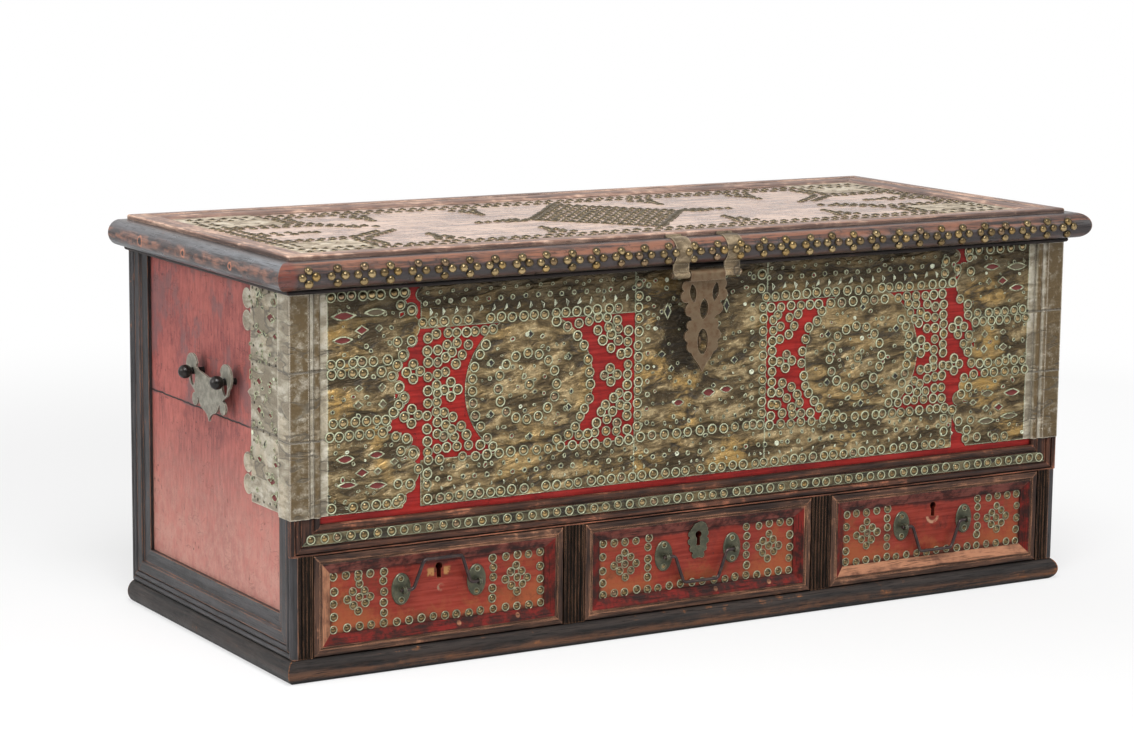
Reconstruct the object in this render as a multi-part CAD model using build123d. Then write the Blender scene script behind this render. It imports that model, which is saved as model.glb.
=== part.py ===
from build123d import *
import os
from math import cos, radians, sin, sqrt

# Brass-studded dowry chest on a plinth: hinged lid with a hasp, three drawers in a row, and a swinging
# handle plate on each end. Millimetres, X right, Y back, Z up, the floor at Z = 0. The origin is below the
# middle of the whole chest, hinges and hasp straps included.

# ---- driving dimensions -------------------------------------------------------------------------------
CASE_W = 1200.0            # case over the end mouldings
CASE_D = 496.0             # case from the front mouldings to the back board
CASE_H = 484.0             # rim of the case above the floor

PLINTH_H = 30.0
PLINTH_OUT = 7.0           # how far the plinth stands out of the case
PLINTH_BOARD = 70.0        # width of each plinth board, seen from above
PLINTH_ROUND = 9.0
BOTTOM_T = 20.0

END_BOARD_T = 20.0
END_MOULD_T = 10.0         # end mouldings, planted on the end boards
FRONT_BOARD_T = 20.0
BACK_BOARD_T = 20.0
FLOOR_T = 12.0             # chest floor above the drawers
FRONT_MOULD_T = 7.0        # front mouldings, planted on the front board

DRAWER_ZONE_TOP = 160.0    # underside of the rail above the drawers
DIVIDER_T = 30.0           # drawer dividers, as wide as the corner posts look from the front
DRAWERS = 3

RAIL_W = 37.0              # width of the front moulding
STILE_LAND = 5.0           # plain land that the corner stiles add outside that profile
BEAD_R = 4.25

END_FRONT_W = 42.0         # end mouldings: front, bottom and back members
END_BOTTOM_W = 52.0
END_BACK_W = 54.0
END_BEAD_R = 4.0

LID_LIP_H = 7.0            # moulding under the lid's edge
LID_LIP_OUT = 5.0
LID_LIP_W = 45.0
LID_T = 34.5               # lid board and its bullnose edge
LID_NOSE = 28.0
LID_NOSE_FLAT = 8.0
LID_FRAME_H = 6.0          # mitred frame on top of the lid
LID_FRAME_W = 42.0

SHEET_T = 0.8              # brass sheet
SHEET_BOTTOM = 206.0       # lower edge of the brass sheets
LID_SHEET_X = 118.0
LID_SHEET_Y = 114.0
MEDALLION_LAP = 11.0       # how far the round disc laps over the bands
CENTRE_SHEET_HALF = 103.0
FIELD_SHEET_HALF = 417.0   # outer ends of the two bands
BAND_TOP_H = 54.0          # upper band
BAND_LOW_H = 58.0          # lower band
RED_BAND_W = 42.0          # bare red board between the bands and the lobed end sheets
SIDE_SHEET_REACH = 130.0   # how far back the corner sheets run on the end boards
SEAM_UP = 43.0             # seams of the stacked sheets above and below the middle of the field
FIELD_LAP = 12.0           # how far the corner sheets turn on to the front field

HASP_X = -12.0
HASP_AXIS_OUT = 20.0       # hasp rod in front of the case
HASP_AXIS_DROP = 6.0       # and below the rim
HASP_T = 3.0
HASP_L = 130.0             # rod to the tip of the tail
HASP_CRANK = 2.5           # step back of the hasp's lower part
HASP_CRANK_START = 50.0    # below the rod
HASP_CRANK_END = 60.0
HASP_ROLL_R = 6.2
ROD_R = 3.2
ROD_HALF = 54.0
RUNNING_FIT = 0.06
STRAP_T = 1.2
STRAP_W = 24.0
STRAP_X = 39.5             # strap centres either side of the hasp
STRAP_EYE_R = 4.8
STAPLE_WIRE_R = 2.2
STAPLE_HALF = 6.8
STAPLE_OUT = 9.0           # how far the staple stands in front of the case
STAPLE_LEG = 12.0          # depth of its legs in the front board
SLOT_DROP = 90.0           # hasp slot below the hasp's axis

HINGE_X = 380.0
HINGE_W = 60.0
HINGE_LEAF_H = 62.0
HINGE_LEAF_T = 2.5
HINGE_PIN_R = 3.0
HINGE_KNUCKLE_R = 5.0
HINGE_GAP = 0.5            # between knuckles

DRAWER_GAP = 1.5           # round each drawer front
DRAWER_FRONT_T = 15.0
DRAWER_MOULD_W = 25.0
DRAWER_MOULD_H = 7.5
DRAWER_SIDE_T = 10.0
DRAWER_SIDE_H = 118.0
DRAWER_BOTTOM_T = 6.0
DRAWER_BOTTOM_UP = 5.0     # drawer bottom above the lower edge of the sides
DRAWER_ROOM = 34.0         # between a shut drawer and the back board
SLIDE_CLEARANCE = 0.3
STOP_W = 60.0
STOP_T = 12.0
STOP_H = 15.0

BAIL_WIRE_R = 2.2
BAIL_OUT = 9.0             # bail axis in front of the drawer panel
BAIL_Z = 102.5
BAIL_HALF = 54.0           # centre of each back plate from the drawer's middle
BAIL_SHOULDER = 41.0
BAIL_FOOT = 27.0
BAIL_DROP = 37.0
BAIL_BEND = 6.0
BAIL_LEAN = 3.7            # degrees that the raised bail leans back, on to the moulding above it
EYE_CLEARANCE = 0.3
EYE_WALL = 2.2
EYE_W = 4.0
PLATE_A = 13.5
PLATE_B = 20.5
PLATE_T = 1.6

LOCK_W = 56.0
LOCK_H = 44.0
LOCK_T = 9.0
KEYHOLE_Z = 122.0
KEYHOLE_R = 5.0
KEYHOLE_DROP = 13.0

POST_Y = 49.0              # posts of the end handles either side of the handle's middle
HANDLE_Y = 226.0           # handle's middle behind the front of the case
HANDLE_DROP = 132.0        # posts below the rim of the case
POST_R = 4.5
BALL_R = 9.0
BALL_OUT = 26.0            # ball centre in front of the end board
HANDLE_T = 3.0
HANDLE_OUT = 14.0          # middle of the plate in front of the end board
LOBE_R = 17.0              # round upper corners of the handle plate
PRONG_R = 8.5
HOLE_A = 8.0
HOLE_B = 12.0
HOLE_CLEARANCE = 0.9       # lets the plate rock over the post

# ---- places worked out from them ----------------------------------------------------------------------
HINGE_AXIS_OUT = HINGE_KNUCKLE_R
FRONT = LID_NOSE + STRAP_T - (LID_NOSE + STRAP_T + CASE_D + HINGE_AXIS_OUT + HINGE_KNUCKLE_R) / 2
BACK = FRONT + CASE_D
SIDE = CASE_W / 2
BOARD_OUT = SIDE - END_MOULD_T                  # outer face of an end board
BOARD_IN = BOARD_OUT - END_BOARD_T              # inner face of an end board
FIELD = FRONT + FRONT_MOULD_T                   # face of the front board
STILE_W = RAIL_W + STILE_LAND
FIELD_HALF = SIDE - STILE_W                     # half width of the field between the corner stiles
LID_Z = CASE_H + LID_LIP_H                      # underside of the lid board
LID_TOP = LID_Z + LID_T
FIELD_MID_Z = (SHEET_BOTTOM + CASE_H) / 2
BAND_TOP_Z = CASE_H - BAND_TOP_H
BAND_LOW_Z = SHEET_BOTTOM + BAND_LOW_H
MEDALLION_R = (BAND_TOP_Z - BAND_LOW_Z) / 2 + MEDALLION_LAP
MEDALLION_Z = (BAND_TOP_Z + BAND_LOW_Z) / 2
END_SHEET_EDGE = FIELD_SHEET_HALF + RED_BAND_W
BAY = (2 * BOARD_IN - (DRAWERS - 1) * DIVIDER_T) / DRAWERS
DRAWER_W = BAY - 2 * DRAWER_GAP
DRAWER_X = [(i - (DRAWERS - 1) / 2) * (BAY + DIVIDER_T) for i in range(DRAWERS)]
DRAWER_Z0 = PLINTH_H + 1.0
DRAWER_Z1 = DRAWER_ZONE_TOP - DRAWER_GAP
PANEL = FIELD                                   # face of the drawer panels
BOX_FRONT = PANEL + DRAWER_FRONT_T
BOX_BACK = BACK - BACK_BOARD_T - DRAWER_ROOM
POST_Z = CASE_H - HANDLE_DROP
HASP_AXIS_Y = FRONT - HASP_AXIS_OUT
HASP_AXIS_Z = CASE_H - HASP_AXIS_DROP
SLOT_Z = HASP_AXIS_Z - SLOT_DROP
BAIL_AXIS_Y = PANEL - BAIL_OUT


# ---- helpers ------------------------------------------------------------------------------------------
def block(x0, x1, y0, y1, z0, z1):
    """A board between two corners."""
    middle = Pos((x0 + x1) / 2, (y0 + y1) / 2, (z0 + z1) / 2)
    return middle * Box(x1 - x0, y1 - y0, z1 - z0)


def along_x(face, x0, x1):
    """Extrude a face drawn in (y, z) from x0 to x1."""
    return extrude(Plane.YZ.offset(x0) * face, x1 - x0)


def along_y(face, y0, y1):
    """Extrude a face drawn in (x, z) from y0 to y1."""
    return extrude(Plane.XZ.offset(-y1) * face, y1 - y0)


def along_z(face, z0, z1):
    """Extrude a face drawn in (x, y) from z0 to z1."""
    return extrude(Plane.XY.offset(z0) * face, z1 - z0)


def polygon(*points):
    return make_face(Polyline(*points, close=True))


def outline(*pieces):
    """A face from a chain of points and arcs; an arc is (start, middle, end)."""
    edges = []
    last = None
    first = None
    for piece in pieces:
        start = piece[0] if isinstance(piece[0], tuple) else piece
        end = piece[2] if isinstance(piece[0], tuple) else piece
        if first is None:
            first = start
        if last is not None and last != start:
            edges.append(Line(last, start))
        if isinstance(piece[0], tuple):
            edges.append(ThreePointArc(*piece))
        last = end
    if last != first:
        edges.append(Line(last, first))
    return make_face(edges)


def bead(start, radius, turn=1):
    """A half-round bead drawn from start towards +u, with its crest towards turn * v."""
    u, v = start
    return (start, (u + radius, v + turn * radius), (u + 2 * radius, v))


def placed(face_points, to_plane):
    """Map (u, v) points and arcs of a profile to a plane's own coordinates."""
    mapped = []
    for piece in face_points:
        if isinstance(piece[0], tuple):
            mapped.append(tuple(to_plane(*point) for point in piece))
        else:
            mapped.append(to_plane(*piece))
    return outline(*mapped)


def left_right(shape):
    """The left-hand shape and its mirror image on the right."""
    return {"left": shape, "right": mirror(shape, about=Plane.YZ)}


def group(shapes):
    solids = []
    for shape in shapes:
        solids += list(shape.solids())
    return Compound(children=solids)


def cut_all(shape, tools):
    for tool in tools:
        shape = shape - tool
    return shape


PARTS = {}


def keep(name, *shapes):
    PARTS[name] = group(shapes)


# ---- plinth and case boards ---------------------------------------------------------------------------
def plinth():
    out = SIDE + PLINTH_OUT
    front, back = FRONT - PLINTH_OUT, BACK
    profile = [(PLINTH_BOARD, 0), (PLINTH_BOARD, PLINTH_H),
               ((PLINTH_ROUND, PLINTH_H), (0, PLINTH_H / 2), (PLINTH_ROUND, 0))]
    front_board = along_x(placed(profile, lambda u, v: (front + u, v)), -out, out)
    side_board = along_y(placed(profile, lambda u, v: (-out + u, v)), front, back)
    b = PLINTH_BOARD
    front_mitre = polygon((-out, front), (out, front), (out - b, front + b), (-out + b, front + b))
    side_mitre = polygon((-out, front), (-out + b, front + b), (-out + b, back), (-out, back))
    keep("plinth_boards",
         front_board & along_z(front_mitre, 0, PLINTH_H),
         side_board & along_z(side_mitre, 0, PLINTH_H),
         mirror(side_board & along_z(side_mitre, 0, PLINTH_H), about=Plane.YZ),
         block(-out + b, out - b, back - b, back, 0, PLINTH_H))
    keep("bottom_board", block(-out + b, out - b, front + b, back - b, PLINTH_H - BOTTOM_T, PLINTH_H))


def case_boards():
    end_board = block(-BOARD_OUT, -BOARD_IN, FIELD, BACK, PLINTH_H, CASE_H)
    for side, board in left_right(end_board).items():
        keep(side + "_end_board", board)
    leg = Circle(STAPLE_WIRE_R)
    staple_holes = [along_y(Pos(HASP_X, SLOT_Z + s * STAPLE_HALF) * leg, FIELD, FIELD + STAPLE_LEG)
                    for s in (-1, 1)]
    front_board = block(-BOARD_IN, BOARD_IN, FIELD, FIELD + FRONT_BOARD_T, DRAWER_ZONE_TOP, CASE_H)
    keep("front_board", cut_all(front_board, staple_holes))
    keep("back_board", block(-BOARD_IN, BOARD_IN, BACK - BACK_BOARD_T, BACK, PLINTH_H, CASE_H))
    keep("chest_floor", block(-BOARD_IN, BOARD_IN, FIELD + FRONT_BOARD_T, BACK - BACK_BOARD_T,
                              DRAWER_ZONE_TOP, DRAWER_ZONE_TOP + FLOOR_T))


REED_W = 5.0
REED_DEPTH = 1.6


def reeded(board, x0, x1, face):
    """Cut shallow hollows into the front face of an upright board, which leaves reeds between them."""
    count = int((x1 - x0 - 4) // REED_W)
    first = (x0 + x1) / 2 - (count - 1) / 2 * REED_W
    half = REED_W / 2 - 0.6
    radius = (half * half + REED_DEPTH * REED_DEPTH) / (2 * REED_DEPTH)
    for i in range(count):
        hollow = Pos(first + i * REED_W, face - radius + REED_DEPTH) * Circle(radius)
        board = board - along_z(hollow, PLINTH_H, DRAWER_ZONE_TOP)
    return board


def drawer_surround():
    names = ["left_divider", "right_divider"]
    for i, name in enumerate(names):
        x0 = DRAWER_X[i] + BAY / 2
        board = block(x0, x0 + DIVIDER_T, FRONT, BACK - BACK_BOARD_T, PLINTH_H, DRAWER_ZONE_TOP)
        keep(name, reeded(board, x0, x0 + DIVIDER_T, FRONT))
    post = block(-BOARD_OUT, -BOARD_IN, FRONT, FIELD, PLINTH_H, DRAWER_ZONE_TOP)
    post = reeded(post, -BOARD_OUT, -BOARD_IN, FRONT)
    keep("corner_reeds", *left_right(post).values())
    half = STOP_W / 2
    stops = [block(x - half, x + half, BOX_BACK, BOX_BACK + STOP_T, PLINTH_H, PLINTH_H + STOP_H) for x in DRAWER_X]
    keep("drawer_stops", *stops)


# ---- mouldings ----------------------------------------------------------------------------------------
FLAT_H = 3.5               # flat between the two beads of the front moulding
BEAD_FOOT = FRONT_MOULD_T - BEAD_R
FLAT_T0 = 10.5
FLAT_T1 = 26.0
OUTER_BEAD_T = 27.0


def front_profile(width):
    """Front moulding: bead, flat and bead, then a plain land. t runs out from the inner edge, h forward."""
    outer_end = OUTER_BEAD_T + 2 * BEAD_R
    return [(0, 0), (0, BEAD_FOOT), bead((0, BEAD_FOOT), BEAD_R),
            (FLAT_T0, BEAD_FOOT), (FLAT_T0, FLAT_H), (FLAT_T1, FLAT_H), (FLAT_T1, BEAD_FOOT),
            (OUTER_BEAD_T, BEAD_FOOT), bead((OUTER_BEAD_T, BEAD_FOOT), BEAD_R),
            (outer_end, FRONT_MOULD_T), (width, FRONT_MOULD_T), (width, 0)]


def front_mouldings():
    top = DRAWER_ZONE_TOP + RAIL_W
    inner, outer = FIELD_HALF, FIELD_HALF + RAIL_W
    rail = along_x(placed(front_profile(RAIL_W), lambda t, h: (FIELD - h, top - t)), -outer, outer)
    rail = rail & along_y(polygon((-outer, DRAWER_ZONE_TOP), (outer, DRAWER_ZONE_TOP), (inner, top), (-inner, top)),
                          FRONT, FIELD)
    stile = along_z(placed(front_profile(STILE_W), lambda t, h: (-inner - t, FIELD - h)), DRAWER_ZONE_TOP, CASE_H)
    stile = stile & along_y(polygon((-SIDE, DRAWER_ZONE_TOP), (-outer, DRAWER_ZONE_TOP), (-inner, top),
                                    (-inner, CASE_H), (-SIDE, CASE_H)), FRONT, FIELD)
    keep("front_frame_moulding", rail, *left_right(stile).values())
    t0, t1 = FLAT_T0 + 1, FLAT_T1 - 1
    strip = polygon((-inner - t1, top - t1), (inner + t1, top - t1), (inner + t0, top - t0), (-inner - t0, top - t0))
    keep("rail_strip", along_y(strip, FIELD - FLAT_H - SHEET_T, FIELD - FLAT_H))


END_BEADS = 4 * END_BEAD_R
END_FLAT_H = 8.0
END_INNER_H = 5.0
END_FLAT_END = 31.0
END_STEP_END = 33.0


def end_profile(width):
    """End moulding: two beads outside, a flat, a small step and an inner flat. u runs in from the outer edge."""
    foot = END_MOULD_T - END_BEAD_R
    return [(0, 0), (0, foot), bead((0, foot), END_BEAD_R), bead((2 * END_BEAD_R, foot), END_BEAD_R),
            (END_BEADS + 1, foot), (END_BEADS + 1, END_FLAT_H), (END_FLAT_END, END_FLAT_H),
            (END_STEP_END, END_INNER_H), (width, END_INNER_H), (width, 0)]


def end_mouldings():
    z0, z1 = PLINTH_H, CASE_H
    a, b, c = END_FRONT_W, END_BOTTOM_W, END_BACK_W
    front = along_z(placed(end_profile(a), lambda u, h: (-BOARD_OUT - h, FRONT + u)), z0, z1)
    front = front & along_x(polygon((FRONT, z0), (FRONT + a, z0 + a), (FRONT + a, z1), (FRONT, z1)),
                            -SIDE, -BOARD_OUT)
    back = along_z(placed(end_profile(c), lambda u, h: (-BOARD_OUT - h, BACK - u)), z0, z1)
    back = back & along_x(polygon((BACK, z0), (BACK, z1), (BACK - c, z1), (BACK - c, z0 + b), (BACK - b, z0 + b)),
                          -SIDE, -BOARD_OUT)
    bottom = along_y(placed(end_profile(b), lambda u, h: (-BOARD_OUT - h, z0 + u)), FRONT, BACK)
    bottom = bottom & along_x(polygon((FRONT, z0), (BACK, z0), (BACK - b, z0 + b), (FRONT + a, z0 + b),
                                      (FRONT + a, z0 + a)), -SIDE, -BOARD_OUT)
    members = group([front, bottom, back])
    stile_corner = block(-SIDE, -BOARD_OUT, FRONT, FIELD, DRAWER_ZONE_TOP, z1)
    members = group([solid - stile_corner for solid in members.solids()])
    for side, shape in left_right(members).items():
        keep(side + "_end_moulding", shape)


# ---- brass sheets on the case -------------------------------------------------------------------------
def leaf(x, z, length, height):
    """A pointed-oval opening, drawn lying down."""
    half, rise = length / 2, height / 2
    return outline(((x - half, z), (x, z + rise), (x + half, z)), ((x + half, z), (x, z - rise), (x - half, z)))


def diamond(x, z, width, height):
    return polygon((x - width / 2, z), (x, z + height / 2), (x + width / 2, z), (x, z - height / 2))


def round_lobes(face, lobes):
    for x, z, radius in lobes:
        face = face + Pos(x, z) * Circle(radius)
    return face


def seam_slices(z0, z1):
    """The three stacked sheets of a corner, from the bottom."""
    low, high = FIELD_MID_Z - SEAM_UP, FIELD_MID_Z + SEAM_UP
    return [(z0, low), (low, high), (high, z1)]


def field_sheet(face, thickness=SHEET_T):
    return along_y(face, FIELD - thickness, FIELD)


def end_sheets():
    """Three stacked sheets with a lobed inner edge, on each side of the front field."""
    outer = -FIELD_HALF + FIELD_LAP
    edge, mid = -END_SHEET_EDGE, FIELD_MID_Z
    steps = [(15, SHEET_BOTTOM), (15, mid - SEAM_UP), (-10, mid - SEAM_UP), (-10, mid - 25), (-3, mid - 25),
             (-3, mid - 14), (6, mid - 14), (6, mid + SEAM_UP), (10, mid + SEAM_UP), (10, mid + 64),
             (13, mid + 64), (13, CASE_H)]
    face = polygon((outer, SHEET_BOTTOM), *[(edge + u, z) for u, z in steps], (outer, CASE_H))
    upper = [(19, 131, 8.5), (14, 116, 9), (28, 109, 10), (24, 88, 17), (29, 72, 9), (18, 68, 8), (17, 54, 9),
             (8, 42, 9), (3, 29, 8), (11, 14, 8.5), (18, 0, 8.5), (11, -8, 8.5), (4, -17, 8.5), (-7, -26, 8.5)]
    lower = [(22, -54, 9), (16, -68, 8.5), (31, -71, 10), (22, -95, 18), (26, -111, 9), (18, -113, 10),
             (14, -127, 8.5), (9, -134, 9)]
    face = round_lobes(face, [(edge + u, mid + v, radius) for u, v, radius in upper + lower])
    face = face & polygon((outer, SHEET_BOTTOM), (edge + 60, SHEET_BOTTOM), (edge + 60, CASE_H), (outer, CASE_H))
    holes = [leaf(edge - 65, mid + 108, 28, 9), leaf(edge - 21, mid + 110, 26, 8), leaf(edge - 66, mid + 78, 24, 8),
             diamond(edge - 40, mid + 89, 15, 10), diamond(edge - 16, mid + 90, 9, 8),
             diamond(edge - 44, mid + 17, 9, 7), diamond(edge - 12, mid + 16, 9, 9),
             diamond(edge - 45, mid - 4, 12, 9), diamond(edge - 11, mid - 5, 10, 10),
             leaf(edge - 63, mid - 70, 22, 9), leaf(edge - 20, mid - 68, 18, 8), diamond(edge - 40, mid - 89, 16, 10),
             diamond(edge - 18, mid - 89, 10, 8), diamond(edge + 5, mid - 79, 10, 8),
             leaf(edge - 60, mid - 103, 26, 7), leaf(edge - 19, mid - 107, 24, 8)]
    sheet = field_sheet(cut_all(face, holes))
    slices = [sheet & block(-SIDE, 0, FRONT, FIELD, z0, z1) for z0, z1 in seam_slices(SHEET_BOTTOM, CASE_H)]
    for side, shape in left_right(group(slices)).items():
        keep(side + "_end_sheets", shape)


def medallion_sheets():
    """Upper and lower band joined by a round disc; the red board shows in the crescents between them."""
    x0, x1 = -FIELD_SHEET_HALF, -CENTRE_SHEET_HALF
    middle = (x0 + x1) / 2
    face = polygon((x0, SHEET_BOTTOM), (x1, SHEET_BOTTOM), (x1, BAND_LOW_Z), (x0, BAND_LOW_Z))
    face = face + polygon((x0, BAND_TOP_Z), (x1, BAND_TOP_Z), (x1, CASE_H), (x0, CASE_H))
    face = face + Pos(middle, MEDALLION_Z) * Circle(MEDALLION_R)
    face = face + Pos(x0 + 2.5, CASE_H - 11) * Circle(9.5)
    rosette_r = 0.7 * MEDALLION_R
    for i in range(6):
        angle = radians(60 * i + 30)
        face = face - diamond(middle + rosette_r * cos(angle), MEDALLION_Z + rosette_r * sin(angle), 9, 9)
    for side, shape in left_right(field_sheet(face)).items():
        keep(side + "_medallion_sheet", shape)


def centre_sheet():
    half, mid = CENTRE_SHEET_HALF, FIELD_MID_Z
    face = polygon((-half, SHEET_BOTTOM), (half, SHEET_BOTTOM), (half, CASE_H), (-half, CASE_H))
    holes = [leaf(12, mid - 29, 18, 10), leaf(-35, mid - 39, 16, 8), leaf(40, mid - 27, 16, 8),
             diamond(-54, mid + 83, 9, 18), diamond(38, mid + 85, 8, 16), diamond(-62, mid + 27, 10, 8),
             diamond(-47, mid + 7, 8, 8), diamond(52, mid + 11, 9, 9)]
    holes += [Pos(HASP_X, SLOT_Z + s * STAPLE_HALF) * Circle(STAPLE_WIRE_R) for s in (-1, 1)]
    keep("centre_sheet", field_sheet(cut_all(face, holes)))


def corner_sheets():
    """Sheets folded from the end board over the end moulding, round the corner and over the front stile."""
    t = SHEET_T
    wall, step, crest = -BOARD_OUT, -BOARD_OUT - END_INNER_H, -SIDE
    reach = FRONT + SIDE_SHEET_REACH + 40
    inner_edge = FRONT + END_FRONT_W
    bead_x, bead_y = -FIELD_HALF - BEAD_R, FIELD - BEAD_FOOT
    groove_x0, groove_x1 = -FIELD_HALF - 17, -FIELD_HALF - 13
    groove_y = FIELD - FLAT_H
    lap = -FIELD_HALF + FIELD_LAP
    rise = groove_y - bead_y
    inner_foot = bead_x - sqrt(BEAD_R ** 2 - rise ** 2)
    outer_rise = rise - t
    outer_foot = bead_x - sqrt((BEAD_R + t) ** 2 - outer_rise ** 2)
    inner = [(wall, reach), (wall, inner_edge), (step, inner_edge), (step, FRONT + END_STEP_END + 0.4),
             (crest, FRONT + END_FLAT_END), (crest, FRONT), (groove_x0, FRONT), (groove_x1, groove_y),
             ((inner_foot, groove_y), (bead_x, bead_y - BEAD_R), (bead_x + BEAD_R, bead_y)),
             (bead_x + BEAD_R, FIELD), (lap, FIELD)]
    outer = [(lap, FIELD - t), (bead_x + BEAD_R + t, FIELD - t),
             ((bead_x + BEAD_R + t, bead_y), (bead_x, bead_y - BEAD_R - t), (outer_foot, groove_y - t)),
             (groove_x1 + t / 2, groove_y - t), (groove_x0 + t / 2, FRONT - t), (crest - t, FRONT - t),
             (crest - t, FRONT + END_FLAT_END + t / 2), (step - t, FRONT + END_STEP_END + 0.9),
             (step - t, inner_edge + t), (wall - t, inner_edge + t), (wall - t, reach)]
    shell = along_z(outline(*inner, *outer), SHEET_BOTTOM, CASE_H)
    edge = FRONT + SIDE_SHEET_REACH
    face = polygon((FRONT - 5, SHEET_BOTTOM), (edge, SHEET_BOTTOM), (edge, CASE_H), (FRONT - 5, CASE_H))
    face = face + polygon((edge - 20, FIELD_MID_Z - 20), (edge + 10, FIELD_MID_Z), (edge - 20, FIELD_MID_Z + 20))
    face = round_lobes(face, [(edge + 10, FIELD_MID_Z + up * rise, 13) for up in (-1, 1) for rise in (90, 118)])
    holes = []
    for up in (-1, 1):
        holes += [diamond(FRONT + 70, FIELD_MID_Z + up * 102, 24, 12), diamond(FRONT + 104, FIELD_MID_Z + up * 80, 16, 8),
                  diamond(FRONT + 58, FIELD_MID_Z + up * 80, 14, 8), leaf(FRONT + 62, FIELD_MID_Z + up * 122, 16, 9),
                  diamond(FRONT + 105, FIELD_MID_Z + up * 18, 14, 10), diamond(FRONT + 72, FIELD_MID_Z + up * 20, 9, 7)]
    shell = shell & along_x(cut_all(face, holes), -SIDE - t, 0)
    slices = [shell & block(-SIDE - t, 0, FRONT - t, BACK, z0, z1) for z0, z1 in seam_slices(SHEET_BOTTOM, CASE_H)]
    for side, shape in left_right(group(slices)).items():
        keep(side + "_corner_sheets", shape)


# ---- lid ----------------------------------------------------------------------------------------------
def ring_mitres(out, width, front_out):
    """Plan outlines of a front member and a left member that meet in a mitre; out is how far they reach."""
    x, y = SIDE + out, FRONT - front_out
    return (polygon((-x, y), (x, y), (x - width, y + width), (-x + width, y + width)),
            polygon((-x, y), (-x + width, y + width), (-x + width, BACK), (-x, BACK)))


def lid():
    keep("lid_board", block(-SIDE, SIDE, FRONT, BACK, LID_Z, LID_TOP))
    nose_mid = LID_Z + LID_T / 2
    nose = [(0, LID_TOP), (0, LID_Z),
            ((LID_NOSE_FLAT, LID_Z), (LID_NOSE, nose_mid), (LID_NOSE_FLAT, LID_TOP))]
    front_plan, side_plan = ring_mitres(LID_NOSE, LID_NOSE, LID_NOSE)
    reach = SIDE + LID_NOSE
    front = along_x(placed(nose, lambda u, z: (FRONT - u, z)), -reach, reach) & along_z(front_plan, LID_Z, LID_TOP)
    side = along_y(placed(nose, lambda u, z: (-SIDE - u, z)), FRONT - LID_NOSE, BACK)
    side = side & along_z(side_plan, LID_Z, LID_TOP)
    keep("lid_edge_moulding", front, *left_right(side).values())

    lip_round = LID_LIP_H / 2
    lip = [(LID_LIP_OUT - LID_LIP_W, LID_Z), (LID_LIP_OUT - LID_LIP_W, CASE_H), (LID_LIP_OUT - lip_round, CASE_H),
           ((LID_LIP_OUT - lip_round, CASE_H), (LID_LIP_OUT, CASE_H + lip_round), (LID_LIP_OUT - lip_round, LID_Z))]
    front_plan, side_plan = ring_mitres(LID_LIP_OUT, LID_LIP_W, LID_LIP_OUT)
    reach = SIDE + LID_LIP_OUT
    front = along_x(placed(lip, lambda u, z: (FRONT - u, z)), -reach, reach) & along_z(front_plan, CASE_H, LID_Z)
    side = along_y(placed(lip, lambda u, z: (-SIDE - u, z)), FRONT - LID_LIP_OUT, BACK)
    side = side & along_z(side_plan, CASE_H, LID_Z)
    inside = SIDE + LID_LIP_OUT - LID_LIP_W
    rear = block(-inside, inside, BACK - LID_LIP_W, BACK, CASE_H, LID_Z)
    keep("lid_lip_moulding", front, rear, *left_right(side).values())

    w, h = LID_FRAME_W, LID_FRAME_H
    profile = [(w, 0), (0, 0), (0, h - 2.5), ((0, h - 2.5), (0.7, h - 0.7), (2.5, h)), (16, h), (17, h - 1.2),
               (30, h - 1.2), ((30, h - 1.2), (w - 5, h - 2.6), (w, 1.0))]
    front_plan = ring_mitres(0, w, 0)[0]
    back_plan = mirror(front_plan, about=Plane.XZ.offset(-(FRONT + BACK) / 2))
    side_plan = polygon((-SIDE, FRONT), (-SIDE + w, FRONT + w), (-SIDE + w, BACK - w), (-SIDE, BACK))
    z0, z1 = LID_TOP, LID_TOP + h
    front = along_x(placed(profile, lambda u, v: (FRONT + u, z0 + v)), -SIDE, SIDE) & along_z(front_plan, z0, z1)
    rear = along_x(placed(profile, lambda u, v: (BACK - u, z0 + v)), -SIDE, SIDE) & along_z(back_plan, z0, z1)
    side = along_y(placed(profile, lambda u, v: (-SIDE + u, z0 + v)), FRONT, BACK) & along_z(side_plan, z0, z1)
    keep("lid_frame_moulding", front, rear, *left_right(side).values())


def lid_sheets():
    """Pierced sheets in the four corners of the lid's panel."""
    x0, y0 = -SIDE + LID_FRAME_W, FRONT + LID_FRAME_W
    x1, y1 = x0 + LID_SHEET_X, y0 + LID_SHEET_Y
    face = polygon((x0, y0), (x1, y0), (x1, y1), (x0, y1))
    holes = [diamond((x0 + x1) / 2 + 30 * i, (y0 + y1) / 2 + 30 * j, 12, 12) for i in (-1, 0, 1) for j in (-1, 0, 1)]
    sheet = along_z(cut_all(face, holes), LID_TOP, LID_TOP + SHEET_T)
    back_sheet = mirror(sheet, about=Plane.XZ.offset(-(FRONT + BACK) / 2))
    keep("lid_corner_sheets", *left_right(sheet).values(), *left_right(back_sheet).values())


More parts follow.
